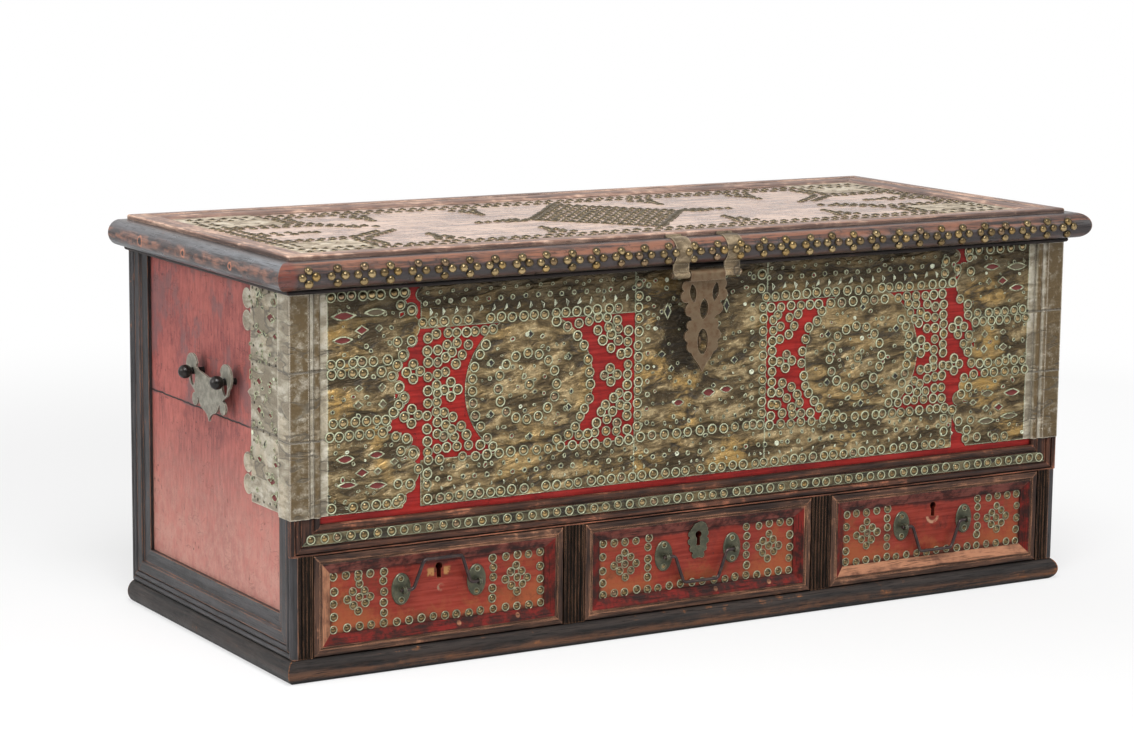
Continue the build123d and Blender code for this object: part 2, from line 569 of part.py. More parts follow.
# ---- hasp ---------------------------------------------------------------------------------------------
def hasp_straps():
    """Two brass straps laid over the lid's edge; each ends in an eye round the hasp's rod."""
    centre_u = LID_NOSE - (LID_T / 2) ** 2 / (2 * (LID_NOSE - LID_NOSE_FLAT)) - (LID_NOSE - LID_NOSE_FLAT) / 2
    radius = LID_NOSE - centre_u
    mid_z = LID_Z + LID_T / 2
    top_angle = 90 + 8
    end_angle = -58
    arc_mid = (top_angle + end_angle) / 2

    def on_arc(angle, r):
        return (FRONT - centre_u - r * cos(radians(angle)), mid_z + r * sin(radians(angle)))

    thick = radius + STRAP_T
    start = (FRONT - LID_NOSE_FLAT, LID_TOP)
    top = LID_TOP + LID_FRAME_H - 2.5
    face = outline((on_arc(end_angle, radius), on_arc(arc_mid, radius), start), (FRONT, LID_TOP), (FRONT, top),
                   (FRONT - STRAP_T, top), (FRONT - STRAP_T, LID_TOP + STRAP_T),
                   ((start[0], LID_TOP + STRAP_T), on_arc(arc_mid, thick), on_arc(end_angle, thick)))
    neck_top = on_arc(end_angle, thick)[1] + 2.2
    neck = polygon((HASP_AXIS_Y - STRAP_T, HASP_AXIS_Z + 4), (HASP_AXIS_Y + STRAP_T, HASP_AXIS_Z + 4),
                   (HASP_AXIS_Y + STRAP_T, neck_top), (HASP_AXIS_Y - STRAP_T, neck_top))
    nose = Pos(FRONT - centre_u, mid_z) * Circle(radius)
    eye = Pos(HASP_AXIS_Y, HASP_AXIS_Z) * Circle(STRAP_EYE_R) - Pos(HASP_AXIS_Y, HASP_AXIS_Z) * Circle(ROD_R)
    bore = Pos(HASP_AXIS_Y, HASP_AXIS_Z) * Circle(ROD_R)
    section = (face + (neck - nose - bore) + eye)
    straps = []
    for s in (-1, 1):
        x = HASP_X + s * STRAP_X
        straps.append(along_x(section, x - STRAP_W / 2, x + STRAP_W / 2))
    keep("hasp_straps", *straps)
    rod = along_x(Pos(HASP_AXIS_Y, HASP_AXIS_Z) * Circle(ROD_R), HASP_X - ROD_HALF, HASP_X + ROD_HALF)
    keep("hasp_rod", rod)


def hasp():
    """Pierced iron hasp: a rolled top on the rod, two scalloped shoulders, a waist and a slotted lobe."""
    y, z = HASP_AXIS_Y, HASP_AXIS_Z
    back = y + HASP_ROLL_R
    front = back - HASP_T
    crank_top, crank_low, foot = z - HASP_CRANK_START, z - HASP_CRANK_END, z - HASP_L
    c = HASP_CRANK
    side = polygon((front, z), (back, z), (back, crank_top), (back + c, crank_low), (back + c, foot),
                   (front + c, foot), (front + c, crank_low), (front, crank_top))
    roll = Pos(y, z) * Circle(HASP_ROLL_R)
    lip = polygon((y - HASP_ROLL_R, z), (back, z), (back, z - 8.5), (y - HASP_ROLL_R + 1.5, z - 8.5))
    bore = Pos(y, z) * Circle(ROD_R + RUNNING_FIT)
    strip = along_x(side + roll + lip - bore, HASP_X - 45, HASP_X + 45)
    half_outline = [(26.5, 7), (26.5, -8), (25, -30), (25, -46), (16.5, -62), (20, -66), (25, -82), (22, -96),
                    (14, -110), (5, -121), (0, -HASP_L)]
    right = [(HASP_X + u, z + v) for u, v in half_outline]
    left = [(HASP_X - u, z + v) for u, v in reversed(half_outline[:-1])]
    plan = polygon(*right, *left)
    scallops = [(27, -15.5, 7.5), (28, -29, 8), (20, -47, 9), (18, -68, 6.5), (20, -82, 8), (16, -96, 8)]
    plan = round_lobes(plan, [(HASP_X + s * u, z + v, r) for s in (-1, 1) for u, v, r in scallops])
    piercings = [Pos(HASP_X + s * 17.5, z - 25) * Rot(0, 0, 90 - s * 8) * leaf(0, 0, 25, 10) for s in (-1, 1)]
    piercings += [Pos(HASP_X, z - 47) * Rot(0, 0, 90) * leaf(0, 0, 29, 13)]
    piercings += [Pos(HASP_X, SLOT_Z) * Ellipse(8, 17)]
    keep("hasp", strip & along_y(cut_all(plan, piercings), y - 20, y + 20))


def staple():
    """Iron loop on the front board that the hasp's slot closes over."""
    tip = FRONT - STAPLE_OUT + STAPLE_WIRE_R
    bend = tip + STAPLE_HALF
    low, high = SLOT_Z - STAPLE_HALF, SLOT_Z + STAPLE_HALF
    plane = Plane.YZ.offset(HASP_X)
    leg_end = FIELD + STAPLE_LEG
    path = Wire([Edge.make_line((leg_end, low), (bend, low)),
                 Edge.make_three_point_arc((bend, low), (tip, SLOT_Z), (bend, high)),
                 Edge.make_line((bend, high), (leg_end, high))])
    path = plane * path
    section = Plane(origin=(HASP_X, leg_end, low), z_dir=(0, -1, 0)) * Circle(STAPLE_WIRE_R)
    keep("hasp_staple", sweep(section, path=path))


# ---- hinges -------------------------------------------------------------------------------------------
def hinges():
    y, z = BACK + HINGE_AXIS_OUT, CASE_H
    bore = Pos(y, z) * Circle(HINGE_PIN_R + RUNNING_FIT)
    pin_bore = Pos(y, z) * Circle(HINGE_PIN_R)
    knuckle = Pos(y, z) * Circle(HINGE_KNUCKLE_R)
    case_plate = polygon((BACK, z - HINGE_LEAF_H), (BACK + HINGE_LEAF_T, z - HINGE_LEAF_H), (BACK + HINGE_LEAF_T, z),
                         (BACK, z))
    lid_plate = polygon((BACK, z + HINGE_GAP), (BACK + HINGE_LEAF_T, z + HINGE_GAP), (BACK + HINGE_LEAF_T, LID_TOP - 3),
                        (BACK, LID_TOP - 3))
    third = HINGE_W / 3
    case_leaves, lid_leaves, pins = [], [], []
    for x in (-HINGE_X, HINGE_X):
        x0, x1 = x - HINGE_W / 2, x + HINGE_W / 2
        plate = along_x(case_plate, x0, x1)
        barrels = along_x(knuckle, x0, x0 + third) + along_x(knuckle, x1 - third, x1)
        relief = along_x(Pos(y, z) * Circle(HINGE_KNUCKLE_R + HINGE_GAP), x0 + third, x1 - third)
        case_leaves.append(plate - relief + barrels - along_x(pin_bore, x0, x1))
        plate = along_x(lid_plate, x0, x1)
        reliefs = [along_x(Pos(y, z) * Circle(HINGE_KNUCKLE_R + HINGE_GAP), x0, x0 + third),
                   along_x(Pos(y, z) * Circle(HINGE_KNUCKLE_R + HINGE_GAP), x1 - third, x1)]
        barrel = along_x(knuckle, x0 + third + HINGE_GAP, x1 - third - HINGE_GAP)
        lid_leaves.append(cut_all(plate, reliefs) + barrel - along_x(bore, x0, x1))
        pins.append(along_x(Pos(y, z) * Circle(HINGE_PIN_R), x0 - 2, x1 + 2))
    keep("hinge_case_leaves", *case_leaves)
    keep("hinge_lid_leaves", *lid_leaves)
    keep("hinge_pins", *pins)


# ---- drawers ------------------------------------------------------------------------------------------
def keyhole(x):
    """Round hole over a slot, as seen from the front."""
    face = Pos(x, KEYHOLE_Z + 4) * Circle(KEYHOLE_R)
    return face + Pos(x, KEYHOLE_Z - KEYHOLE_DROP / 2 + 2) * Rectangle(KEYHOLE_R * 1.2, KEYHOLE_DROP)


SLOPE_START = 13.0         # the drawer moulding slopes down to its panel from here
SLOPE_DROP = 0.5
SLOPE_FOOT = 1.2


def drawer_profile():
    """Drawer moulding: rounded rim, crest, fine groove and a slope down to the panel."""
    w, h = DRAWER_MOULD_W, DRAWER_MOULD_H
    shoulder = h - SLOPE_DROP
    return [(0, 0), (0, h - 2), ((0, h - 2), (0.6, h - 0.6), (2, h)), (8, h), (9, h - 1.4), (10, h - 1.4),
            (11, shoulder), (SLOPE_START, shoulder), (w, SLOPE_FOOT), (w, 0)]


def drawer(name, x):
    x0, x1 = x - DRAWER_W / 2, x + DRAWER_W / 2
    z0, z1 = DRAWER_Z0, DRAWER_Z1
    hole = keyhole(x)
    front = block(x0, x1, PANEL, PANEL + DRAWER_FRONT_T, z0, z1) - along_y(hole, PANEL, PANEL + DRAWER_FRONT_T)
    keep(name + "_front", front)

    w, crest = DRAWER_MOULD_W, PANEL - DRAWER_MOULD_H
    profile = drawer_profile()
    sill = along_x(placed(profile, lambda u, h: (PANEL - h, z0 + u)), x0, x1)
    sill = sill & along_y(polygon((x0, z0), (x1, z0), (x1 - w, z0 + w), (x0 + w, z0 + w)), crest, PANEL)
    head = along_x(placed(profile, lambda u, h: (PANEL - h, z1 - u)), x0, x1)
    head = head & along_y(polygon((x0, z1), (x1, z1), (x1 - w, z1 - w), (x0 + w, z1 - w)), crest, PANEL)
    left = along_z(placed(profile, lambda u, h: (x0 + u, PANEL - h)), z0, z1)
    left = left & along_y(polygon((x0, z0), (x0 + w, z0 + w), (x0 + w, z1 - w), (x0, z1)), crest, PANEL)
    right = mirror(left, about=Plane.YZ.offset(x))
    keep(name + "_moulding", sill, head, left, right)

    s = DRAWER_SIDE_T
    low = PLINTH_H + SLIDE_CLEARANCE
    top = low + DRAWER_SIDE_H
    base = low + DRAWER_BOTTOM_UP
    keep(name + "_box",
         block(x0, x0 + s, BOX_FRONT, BOX_BACK, low, top),
         block(x1 - s, x1, BOX_FRONT, BOX_BACK, low, top),
         block(x0 + s, x1 - s, BOX_BACK - s, BOX_BACK, base + DRAWER_BOTTOM_T, top),
         block(x0 + s, x1 - s, BOX_FRONT, BOX_BACK, base, base + DRAWER_BOTTOM_T))
    lock_z = KEYHOLE_Z - 2
    lock = block(x - LOCK_W / 2, x + LOCK_W / 2, BOX_FRONT, BOX_FRONT + LOCK_T, lock_z - LOCK_H / 2, lock_z + LOCK_H / 2)
    keep(name + "_lock", lock - along_y(hole, BOX_FRONT, BOX_FRONT + 3))


def bail_plates(name, x):
    """Oval plates with an iron eye each; the eyes carry the bail."""
    pieces = []
    eye_r = BAIL_WIRE_R + EYE_CLEARANCE
    for s in (-1, 1):
        px = x + s * BAIL_HALF
        plate = along_y(Pos(px, BAIL_Z) * Ellipse(PLATE_A, PLATE_B), PANEL - PLATE_T, PANEL)
        plate = chamfer(plate.edges().filter_by_position(Axis.Y, PANEL - PLATE_T - 0.01, PANEL - PLATE_T + 0.01),
                        PLATE_T / 2)
        ring = Pos(BAIL_AXIS_Y, BAIL_Z) * Circle(eye_r + EYE_WALL)
        shank = polygon((BAIL_AXIS_Y, BAIL_Z - EYE_WALL), (PANEL - PLATE_T / 2, BAIL_Z - EYE_WALL),
                        (PANEL - PLATE_T / 2, BAIL_Z + EYE_WALL), (BAIL_AXIS_Y, BAIL_Z + EYE_WALL))
        eye = along_x(ring + shank - Pos(BAIL_AXIS_Y, BAIL_Z) * Circle(eye_r), px - EYE_W / 2, px + EYE_W / 2)
        pieces.append(plate + eye)
    keep(name + "_bail_plates", *pieces)


def bail(name, x, raised):
    """Bail of round wire; its ends turn outwards through the eyes."""
    tip, a, b, d = BAIL_HALF + EYE_W / 2 + 3, BAIL_SHOULDER, BAIL_FOOT, BAIL_DROP
    path = FilletPolyline((-tip, 0), (-a, 0), (-b, -d), (b, -d), (a, 0), (tip, 0), radius=BAIL_BEND)
    wire = sweep((path ^ 0) * Circle(BAIL_WIRE_R), path=path)
    turn = 90 + (180 + BAIL_LEAN if raised else 0)
    keep(name + "_bail", Pos(x, BAIL_AXIS_Y, BAIL_Z) * Rot(turn, 0, 0) * wire)


def escutcheon(x):
    """Shield-shaped key plate with a scalloped edge; its top is bent out over the moulding's slope."""
    z = KEYHOLE_Z - 3
    face = polygon((x - 13, z - 6), (x - 6, z - 24), (x + 6, z - 24), (x + 13, z - 6), (x + 14, z + 14),
                   (x + 8, z + 22), (x, z + 26), (x - 9, z + 23), (x - 14, z + 12))
    lobes = [(x + s * u, z + v, 4) for s in (-1, 1) for u, v in ((12, 8), (12.5, -2), (9.5, -12), (5.5, -21))]
    face = round_lobes(face, lobes) - keyhole(x)
    toe = DRAWER_Z1 - DRAWER_MOULD_W
    slope_end = DRAWER_Z1 - SLOPE_START
    on_slope = PANEL - DRAWER_MOULD_H + SLOPE_DROP
    low = z - 40
    section = polygon((PANEL, low), (PANEL, toe), (PANEL - SLOPE_FOOT, toe), (on_slope, slope_end),
                      (on_slope - PLATE_T, slope_end), (PANEL - SLOPE_FOOT - PLATE_T, toe - 1),
                      (PANEL - PLATE_T, toe - 3), (PANEL - PLATE_T, low))
    plate = along_x(section, x - 25, x + 25) & along_y(face, FRONT - 5, PANEL)
    keep("centre_drawer_escutcheon", plate)


# ---- end handles --------------------------------------------------------------------------------------
def handles():
    """Cast plate with two scrolled wings and a three-pointed foot, hung on two ball-headed posts."""
    y, z = FRONT + HANDLE_Y, POST_Z
    posts = []
    for s in (-1, 1):
        neck = along_x(Pos(y + s * POST_Y, z) * Circle(POST_R), -BOARD_OUT - BALL_OUT + BALL_R / 2, -BOARD_OUT)
        posts.append(neck + Pos(-BOARD_OUT - BALL_OUT, y + s * POST_Y, z) * Rot(0, 90, 0) * Sphere(BALL_R))
    for side, shape in left_right(group(posts)).items():
        keep(side + "_handle_posts", shape)
    hole_z = z + POST_R + HOLE_CLEARANCE - HOLE_B
    lobe = Pos(y + POST_Y + 3, z + 6) * Circle(LOBE_R)
    curl = Pos(y + POST_Y - LOBE_R + 3, z + 8) * Circle(3.5)
    body = outline(((y, z - 2), (y + 22, z + 2), (y + 38, z + 4)), (y + POST_Y + 12, z - 7), (y + POST_Y + 8, z - 17),
                   (y + 45, z - 23), (y + 41, z - 28), ((y + 31, z - 33), (y + 24, z - 42), (y + 14, z - 46)),
                   ((y + 14, z - 46), (y + 6, z - 50), (y, z - 58)))
    prong = Pos(y + 42.5, z - 35) * Circle(PRONG_R)
    half = (lobe - curl) + body + prong - Pos(y + POST_Y, hole_z) * Ellipse(HOLE_A, HOLE_B)
    face = half + mirror(half, about=Plane.YZ.offset(y))
    plate = along_x(face, -BOARD_OUT - HANDLE_OUT - HANDLE_T / 2, -BOARD_OUT - HANDLE_OUT + HANDLE_T / 2)
    for side, shape in left_right(plate).items():
        keep(side + "_handle_plate", shape)


# ---- build --------------------------------------------------------------------------------------------
plinth()
case_boards()
drawer_surround()
front_mouldings()
end_mouldings()
end_sheets()
medallion_sheets()
centre_sheet()
corner_sheets()
lid()
lid_sheets()
hasp_straps()
hasp()
staple()
hinges()
for drawer_name, drawer_x in zip(("left_drawer", "centre_drawer", "right_drawer"), DRAWER_X):
    drawer(drawer_name, drawer_x)
    bail_plates(drawer_name, drawer_x)
    bail(drawer_name, drawer_x, raised=drawer_name == "left_drawer")
escutcheon(DRAWER_X[1])
handles()

os.makedirs("parts", exist_ok=True)
for part_name, part_shape in PARTS.items():
    export_step(part_shape, "parts/" + part_name + ".step")
print(len(PARTS), "parts, front of the case at y", round(FRONT, 3), "back at y", round(BACK, 3))
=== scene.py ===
import math
import random

import bmesh
import bpy
from bpy.props import FloatProperty, FloatVectorProperty, PointerProperty
from mathutils import Matrix, Vector


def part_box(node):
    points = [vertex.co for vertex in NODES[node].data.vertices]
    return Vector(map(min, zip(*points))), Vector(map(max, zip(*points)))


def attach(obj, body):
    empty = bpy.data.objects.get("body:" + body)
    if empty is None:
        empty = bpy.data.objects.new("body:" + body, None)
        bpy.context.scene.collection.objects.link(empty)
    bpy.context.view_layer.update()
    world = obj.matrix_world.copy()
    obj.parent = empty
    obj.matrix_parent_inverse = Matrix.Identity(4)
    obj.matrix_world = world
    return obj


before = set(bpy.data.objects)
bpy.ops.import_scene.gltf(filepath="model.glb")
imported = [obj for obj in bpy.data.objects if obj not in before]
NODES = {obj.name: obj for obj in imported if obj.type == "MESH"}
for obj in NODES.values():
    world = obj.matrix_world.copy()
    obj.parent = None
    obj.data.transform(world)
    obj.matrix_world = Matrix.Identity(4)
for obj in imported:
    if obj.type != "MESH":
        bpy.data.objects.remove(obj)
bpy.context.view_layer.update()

bl_info = {
    "name": "Studded dowry chest",
    "version": (1, 0, 0),
    "blender": (4, 5, 0),
    "location": "View3D > Sidebar > Chest",
    "description": "Finishes and brass fittings of a studded dowry chest",
    "category": "Object",
}

MM = 0.001

# ---- places read from the chest ----------------------------------------------------------------------
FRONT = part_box("front_frame_moulding")[0].y
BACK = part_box("back_board")[1].y
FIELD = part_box("front_board")[0].y
RAIL_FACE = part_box("rail_strip")[0].y
LID_LOW, LID_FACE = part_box("lid_board")[0].z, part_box("lid_board")[1].z
LID_CREST = (LID_LOW + LID_FACE) / 2
LID_LEFT, NOSE_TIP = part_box("lid_edge_moulding")[0].x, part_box("lid_edge_moulding")[0].y
SHEET = 0.8 * MM
SHEET_FACE = FIELD - SHEET
CORNER_SHEET_FACE = abs(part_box("left_end_board")[0].x) + SHEET
DRAWERS = ("left_drawer", "centre_drawer", "right_drawer")


def middle_and_half(node):
    """Middle and half the size of a CAD node."""
    low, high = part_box(node)
    return (low + high) / 2, (high - low) / 2


def linear(red, green, blue):
    """Scene-linear colour of an eight-bit screen colour."""
    def channel(value):
        share = value / 255
        return share / 12.92 if share <= 0.04045 else ((share + 0.055) / 1.055) ** 2.4
    return channel(red), channel(green), channel(blue)


def tone(name, description, red, green, blue):
    return FloatVectorProperty(name=name, description=description, subtype="COLOR", size=3, min=0.0, max=1.0,
                               default=linear(red, green, blue))


def span(name, description, millimetres):
    return FloatProperty(name=name, description=description, subtype="DISTANCE", unit="LENGTH", min=0.0,
                         default=millimetres * MM)


class ChestColours(bpy.types.PropertyGroup):
    """Colours of the chest's woods, paints and metals"""
    soot: tone("Dark wood", "Old waxed hardwood of the mouldings", 34, 24, 21)
    umber: tone("Brown wood", "The same wood where the wax is thin", 86, 54, 40)
    panel: tone("Lid panel", "Faded hardwood of the lid", 188, 150, 128)
    panel_dark: tone("Lid panel grain", "Darker grain of the lid", 126, 92, 76)
    inside: tone("Unpainted board", "Boards inside the chest and at its back", 104, 72, 48)
    red: tone("Front red", "Red paint behind the brass sheets", 146, 26, 18)
    end_red: tone("End red", "Faded red paint of the end boards", 164, 86, 76)
    end_dull: tone("End red, dull", "Darker stains in the end boards' paint", 118, 54, 52)
    drawer_red: tone("Drawer red", "Red paint of the drawer fronts", 130, 42, 26)
    amber: tone("Drawer amber", "Wood glowing through thin paint", 148, 80, 44)
    brass: tone("Sheet brass", "Aged sheet brass", 138, 117, 80)
    # Darker shares of this colour also give the painted shade in the sheets' corners and creases, and the
    # painted shadow below the lid's edge and the hasp
    brass_dark: tone("Sheet brass, dark", "Dirt in the hollows of the sheets", 66, 53, 32)
    brass_pale: tone("Sheet brass, pale", "Rubbed high spots of the sheets", 184, 164, 124)
    brass_gold: tone("Sheet brass, gold", "Patches of warmer brass", 170, 136, 76)
    zinc: tone("End sheet", "Greyed sheets on the end boards", 176, 168, 148)
    stud: tone("Stud dome", "Brass of the domed studs", 174, 152, 112)
    stud_rim: tone("Stud rim", "Pale corrosion on the stud rims", 184, 188, 158)
    # Dirt and painted shade in the groove round each dome
    stud_dirt_and_shade: tone("Stud dirt", "Dirt in the groove round each dome", 58, 56, 42)
    iron: tone("Iron", "Forged iron with a brown patina", 112, 94, 72)
    rust: tone("Rust", "Browner patches of the iron", 98, 74, 52)
    plate: tone("Cast plate", "Greyed cast brass of the handle plates", 116, 112, 100)
    floor: tone("Floor", "Pale studio floor", 232, 232, 232)


class ChestSizes(bpy.types.PropertyGroup):
    """Sizes of the studs, rims and nails"""
    stud_radius: span("Stud radius", "Outer radius of a studded rim on the front", 6.9)
    stud_height: span("Stud height", "Height of a stud's dome", 3.4)
    dome_radius: span("Edge stud radius", "Radius of the plain domes along the lid's edge", 5.7)
    hole_radius: span("Punched rim radius", "Outer radius of the small punched rims", 3.7)
    nail_radius: span("Nail radius", "Radius of the small nail heads", 2.0)


# ---- shader building ----------------------------------------------------------------------------------
class Shade:
    """A value of a finish that takes part in sums as a number does."""

    def __init__(self, finish, socket):
        self.finish = finish
        self.socket = socket

    def maths(self, operation, *terms):
        made = self.finish.node("Math", {"operation": operation}, dict(enumerate(terms)))
        return Shade(self.finish, made.outputs[0])

    def __add__(self, other):
        return self.maths("ADD", self, other)

    def __radd__(self, other):
        return self.maths("ADD", other, self)

    def __sub__(self, other):
        return self.maths("SUBTRACT", self, other)

    def __rsub__(self, other):
        return self.maths("SUBTRACT", other, self)

    def __mul__(self, other):
        return self.maths("MULTIPLY", self, other)

    def __rmul__(self, other):
        return self.maths("MULTIPLY", other, self)

    def __truediv__(self, other):
        return self.maths("DIVIDE", self, other)

    def __abs__(self):
        return self.maths("ABSOLUTE", self)

    def __lt__(self, other):
        return self.maths("LESS_THAN", self, other)

    def __gt__(self, other):
        return self.maths("GREATER_THAN", self, other)

    def root(self):
        return self.maths("SQRT", self)

    def fraction(self):
        return self.maths("FRACT", self)

    def least(self, other):
        return self.maths("MINIMUM", self, other)

    def most(self, other):
        return self.maths("MAXIMUM", self, other)

    def rise(self, low, high):
        """0 below low and 1 above high, eased between them; low may be the larger."""
        made = self.finish.node("MapRange", {"interpolation_type": "SMOOTHSTEP"},
                                {"Value": self, "From Min": low, "From Max": high})
        return Shade(self.finish, made.outputs[0])


def distance(across, up):
    """Distance from the place where both values are 0."""
    return (across * across + up * up).root()


class Finish:
    """A node tree of a material or of the world, with its own coordinates at hand."""

    def __init__(self, name, kind="materials"):
        self.material = getattr(bpy.data, kind).new(name)
        self.material.use_nodes = True
        self.tree = self.material.node_tree
        self.tree.nodes.clear()
        self.place = self.node("TexCoord").outputs["Object"]
        parts = self.node("SeparateXYZ", None, {0: self.place}).outputs
        self.x, self.y, self.z = (Shade(self, socket) for socket in parts)

    def node(self, kind, settings=None, values=None):
        made = self.tree.nodes.new("ShaderNode" + kind)
        for name, value in (settings or {}).items():
            setattr(made, name, value)
        for key, value in (values or {}).items():
            socket = made.inputs[key]
            if isinstance(value, Shade):
                self.tree.links.new(value.socket, socket)
            elif isinstance(value, bpy.types.NodeSocket):
                self.tree.links.new(value, socket)
            elif socket.type == "RGBA":
                socket.default_value = (*value[:3], 1.0)
            else:
                socket.default_value = value
        return made

    def vector(self, x, y, z):
        return self.node("CombineXYZ", None, {0: x, 1: y, 2: z}).outputs[0]

    def noise(self, size, place=None, detail=2.0, roughness=0.5, swirl=0.0):
        """Noise with features about size metres wide."""
        values = {"Vector": place or self.place, "Scale": 1.0 / size, "Detail": detail,
                  "Roughness": roughness, "Distortion": swirl}
        return Shade(self, self.node("TexNoise", None, values).outputs[0])

    def cells(self, size):
        """Distance to the nearest of points strewn about size metres apart."""
        made = self.node("TexVoronoi", None, {"Vector": self.place, "Scale": 1.0 / size})
        return Shade(self, made.outputs["Distance"])

    def mix(self, factor, first, second):
        return self.node("Mix", {"data_type": "RGBA"}, {0: factor, 6: first, 7: second}).outputs[2]

    def attribute(self, name):
        return Shade(self, self.node("Attribute", {"attribute_name": name}).outputs["Fac"])

    def facing_up(self):
        """How far the surface faces upwards, -1 to 1."""
        parts = self.node("SeparateXYZ", None, {0: self.node("NewGeometry").outputs["Normal"]})
        return Shade(self, parts.outputs["Z"])

    def edge(self, radius):
        """How sharply the surface turns: 0 on a flat, up to 1 on an edge."""
        soft = self.node("Bevel", {"samples": 4}, {"Radius": radius}).outputs[0]
        true = self.node("NewGeometry").outputs["Normal"]
        turned = self.node("VectorMath", {"operation": "DOT_PRODUCT"}, {0: soft, 1: true}).outputs["Value"]
        return (1.0 - Shade(self, turned)).rise(0.01, 0.22)

    def hollow(self, distance):
        """How shut in the surface is within a distance: 0 in the open, 1 in a corner."""
        open_share = self.node("AmbientOcclusion", {"samples": 4}, {"Distance": distance}).outputs["AO"]
        return 1.0 - Shade(self, open_share)

    def bump(self, height, depth):
        return self.node("Bump", None, {"Height": height, "Distance": depth, "Strength": 1.0}).outputs[0]

    def surface(self, **values):
        """Close the finish: one shader with the given values, to the material's output."""
        names = {"colour": "Base Color", "rough": "Roughness", "metal": "Metallic", "normal": "Normal",
                 "specular": "Specular IOR Level"}
        shader = self.node("BsdfPrincipled", None, {names[key]: value for key, value in values.items()})
        self.node("OutputMaterial", None, {"Surface": shader.outputs[0]})
        return self.material


def dress(material, *names):
    """Give CAD nodes a finish in place of the plain one."""
    for name in names:
        for holder in NODES[name].material_slots:
            holder.material = material


# ---- woods and paints ---------------------------------------------------------------------------------
GRAIN_STRETCH = 0.955

# Where the mitres of the framed mouldings start
FRONT_FRAME_SIDE, FRONT_FRAME_FOOT = 558 * MM, 197 * MM
END_FRAME_FOOT = 30 * MM
LEVEL_FRAME_SIDE = 600 * MM


def grain_place(finish, along):
    """Coordinates squeezed along the grain; along gives each axis its share of the grain's direction."""
    squeezed = []
    for axis in ("x", "y", "z"):
        share = along.get(axis, 0.0)
        factor = 1.0 - GRAIN_STRETCH * share
        squeezed.append(getattr(finish, axis) * factor)
    return finish.vector(*squeezed)


def from_front_or_back(finish):
    """Depth from the nearer of the chest's front and back."""
    return (finish.y - FRONT).least(BACK - finish.y)


def mitred(finish, piece):
    """Grain shares of framed pieces, whose members meet in mitres."""
    if piece == "level frame":
        inward = (LEVEL_FRAME_SIDE - abs(finish.x)) < from_front_or_back(finish)
        return {"x": 1.0 - inward, "y": inward}
    if piece == "end frame":
        upright = from_front_or_back(finish) < (finish.z - END_FRAME_FOOT)
        return {"y": 1.0 - upright, "z": upright}
    if piece == "front frame":
        upright = (abs(finish.x) - FRONT_FRAME_SIDE) > (FRONT_FRAME_FOOT - finish.z)
    else:
        middle, half = middle_and_half(piece)
        upright = (half.x - abs(finish.x - middle.x)) < (half.z - abs(finish.z - middle.z))
    return {"x": 1.0 - upright, "z": upright}


def wood(name, along, dark, mid, worn, wear, polish=0.45, depth=0.5, tint=None, shine=0.22, corner_dirt_and_shade=1.0):
    """Old hardwood: long streaks, open pores, rubbed edges, and dirt and painted shade in the corners.

    along is the grain's axis or the name of a mitred piece; tint is a function that changes the colour.
    """
    f = Finish(name)
    shares = mitred(f, along) if len(along) > 1 else {along: 1.0}
    place = grain_place(f, shares)
    fibre = f.noise(2.1 * MM, place, 4.0, 0.7)
    streak = f.noise(10 * MM, place, 5.0, 0.65, 0.5)
    board = f.noise(110 * MM, None, 3.0, 0.55)
    patch = f.noise(22 * MM, None, 6.0, 0.72)
    # Painted shade: the colour is darkened where the surface is shut in, in corners and grooves
    grime_and_shade = f.hollow(12 * MM).rise(0.12, 0.60) * corner_dirt_and_shade
    pore = f.noise(1.3 * MM, place, 2.0).rise(0.56, 0.68)
    body = f.mix((streak * 0.85 + board * 0.35 + fibre * 0.35).rise(0.62, 0.90), dark, mid)
    unevenness = (board - 0.5) * 1.3 + (patch - 0.5) * 2.0 + (streak - 0.5) * 1.6
    rubbed = (f.edge(2.8 * MM) * 1.2 + unevenness - 0.55 + wear).rise(0.05, 0.45)
    rubbed = rubbed * (0.30 + 0.70 * fibre.rise(0.40, 0.56))
    colour = f.mix(rubbed, body, worn)
    if tint:
        colour = tint(f, colour, patch, streak, shares)
    # Dirt in the pores and fibres, with the painted shade of the corners; both darken the colour
    dirt_and_shade = (pore * 0.75).most(grime_and_shade).most(fibre.rise(0.47, 0.32) * 0.6)
    colour = f.mix(dirt_and_shade, colour, tuple(0.20 * c for c in dark))
    rough = polish + 0.20 * rubbed + 0.24 * (patch - 0.5)
    height = fibre * 0.5 + streak * 0.5 - pore * 0.5 + f.noise(6 * MM, None, 3.0) * 0.4
    return f.surface(colour=colour, rough=rough, normal=f.bump(height, depth * MM), specular=shine)


# Pale plugs in the lower member of a drawer's moulding: places to the right of its middle, and their height
PLUGS = (27 * MM, 113 * MM)
PLUG_HEIGHT = 19 * MM


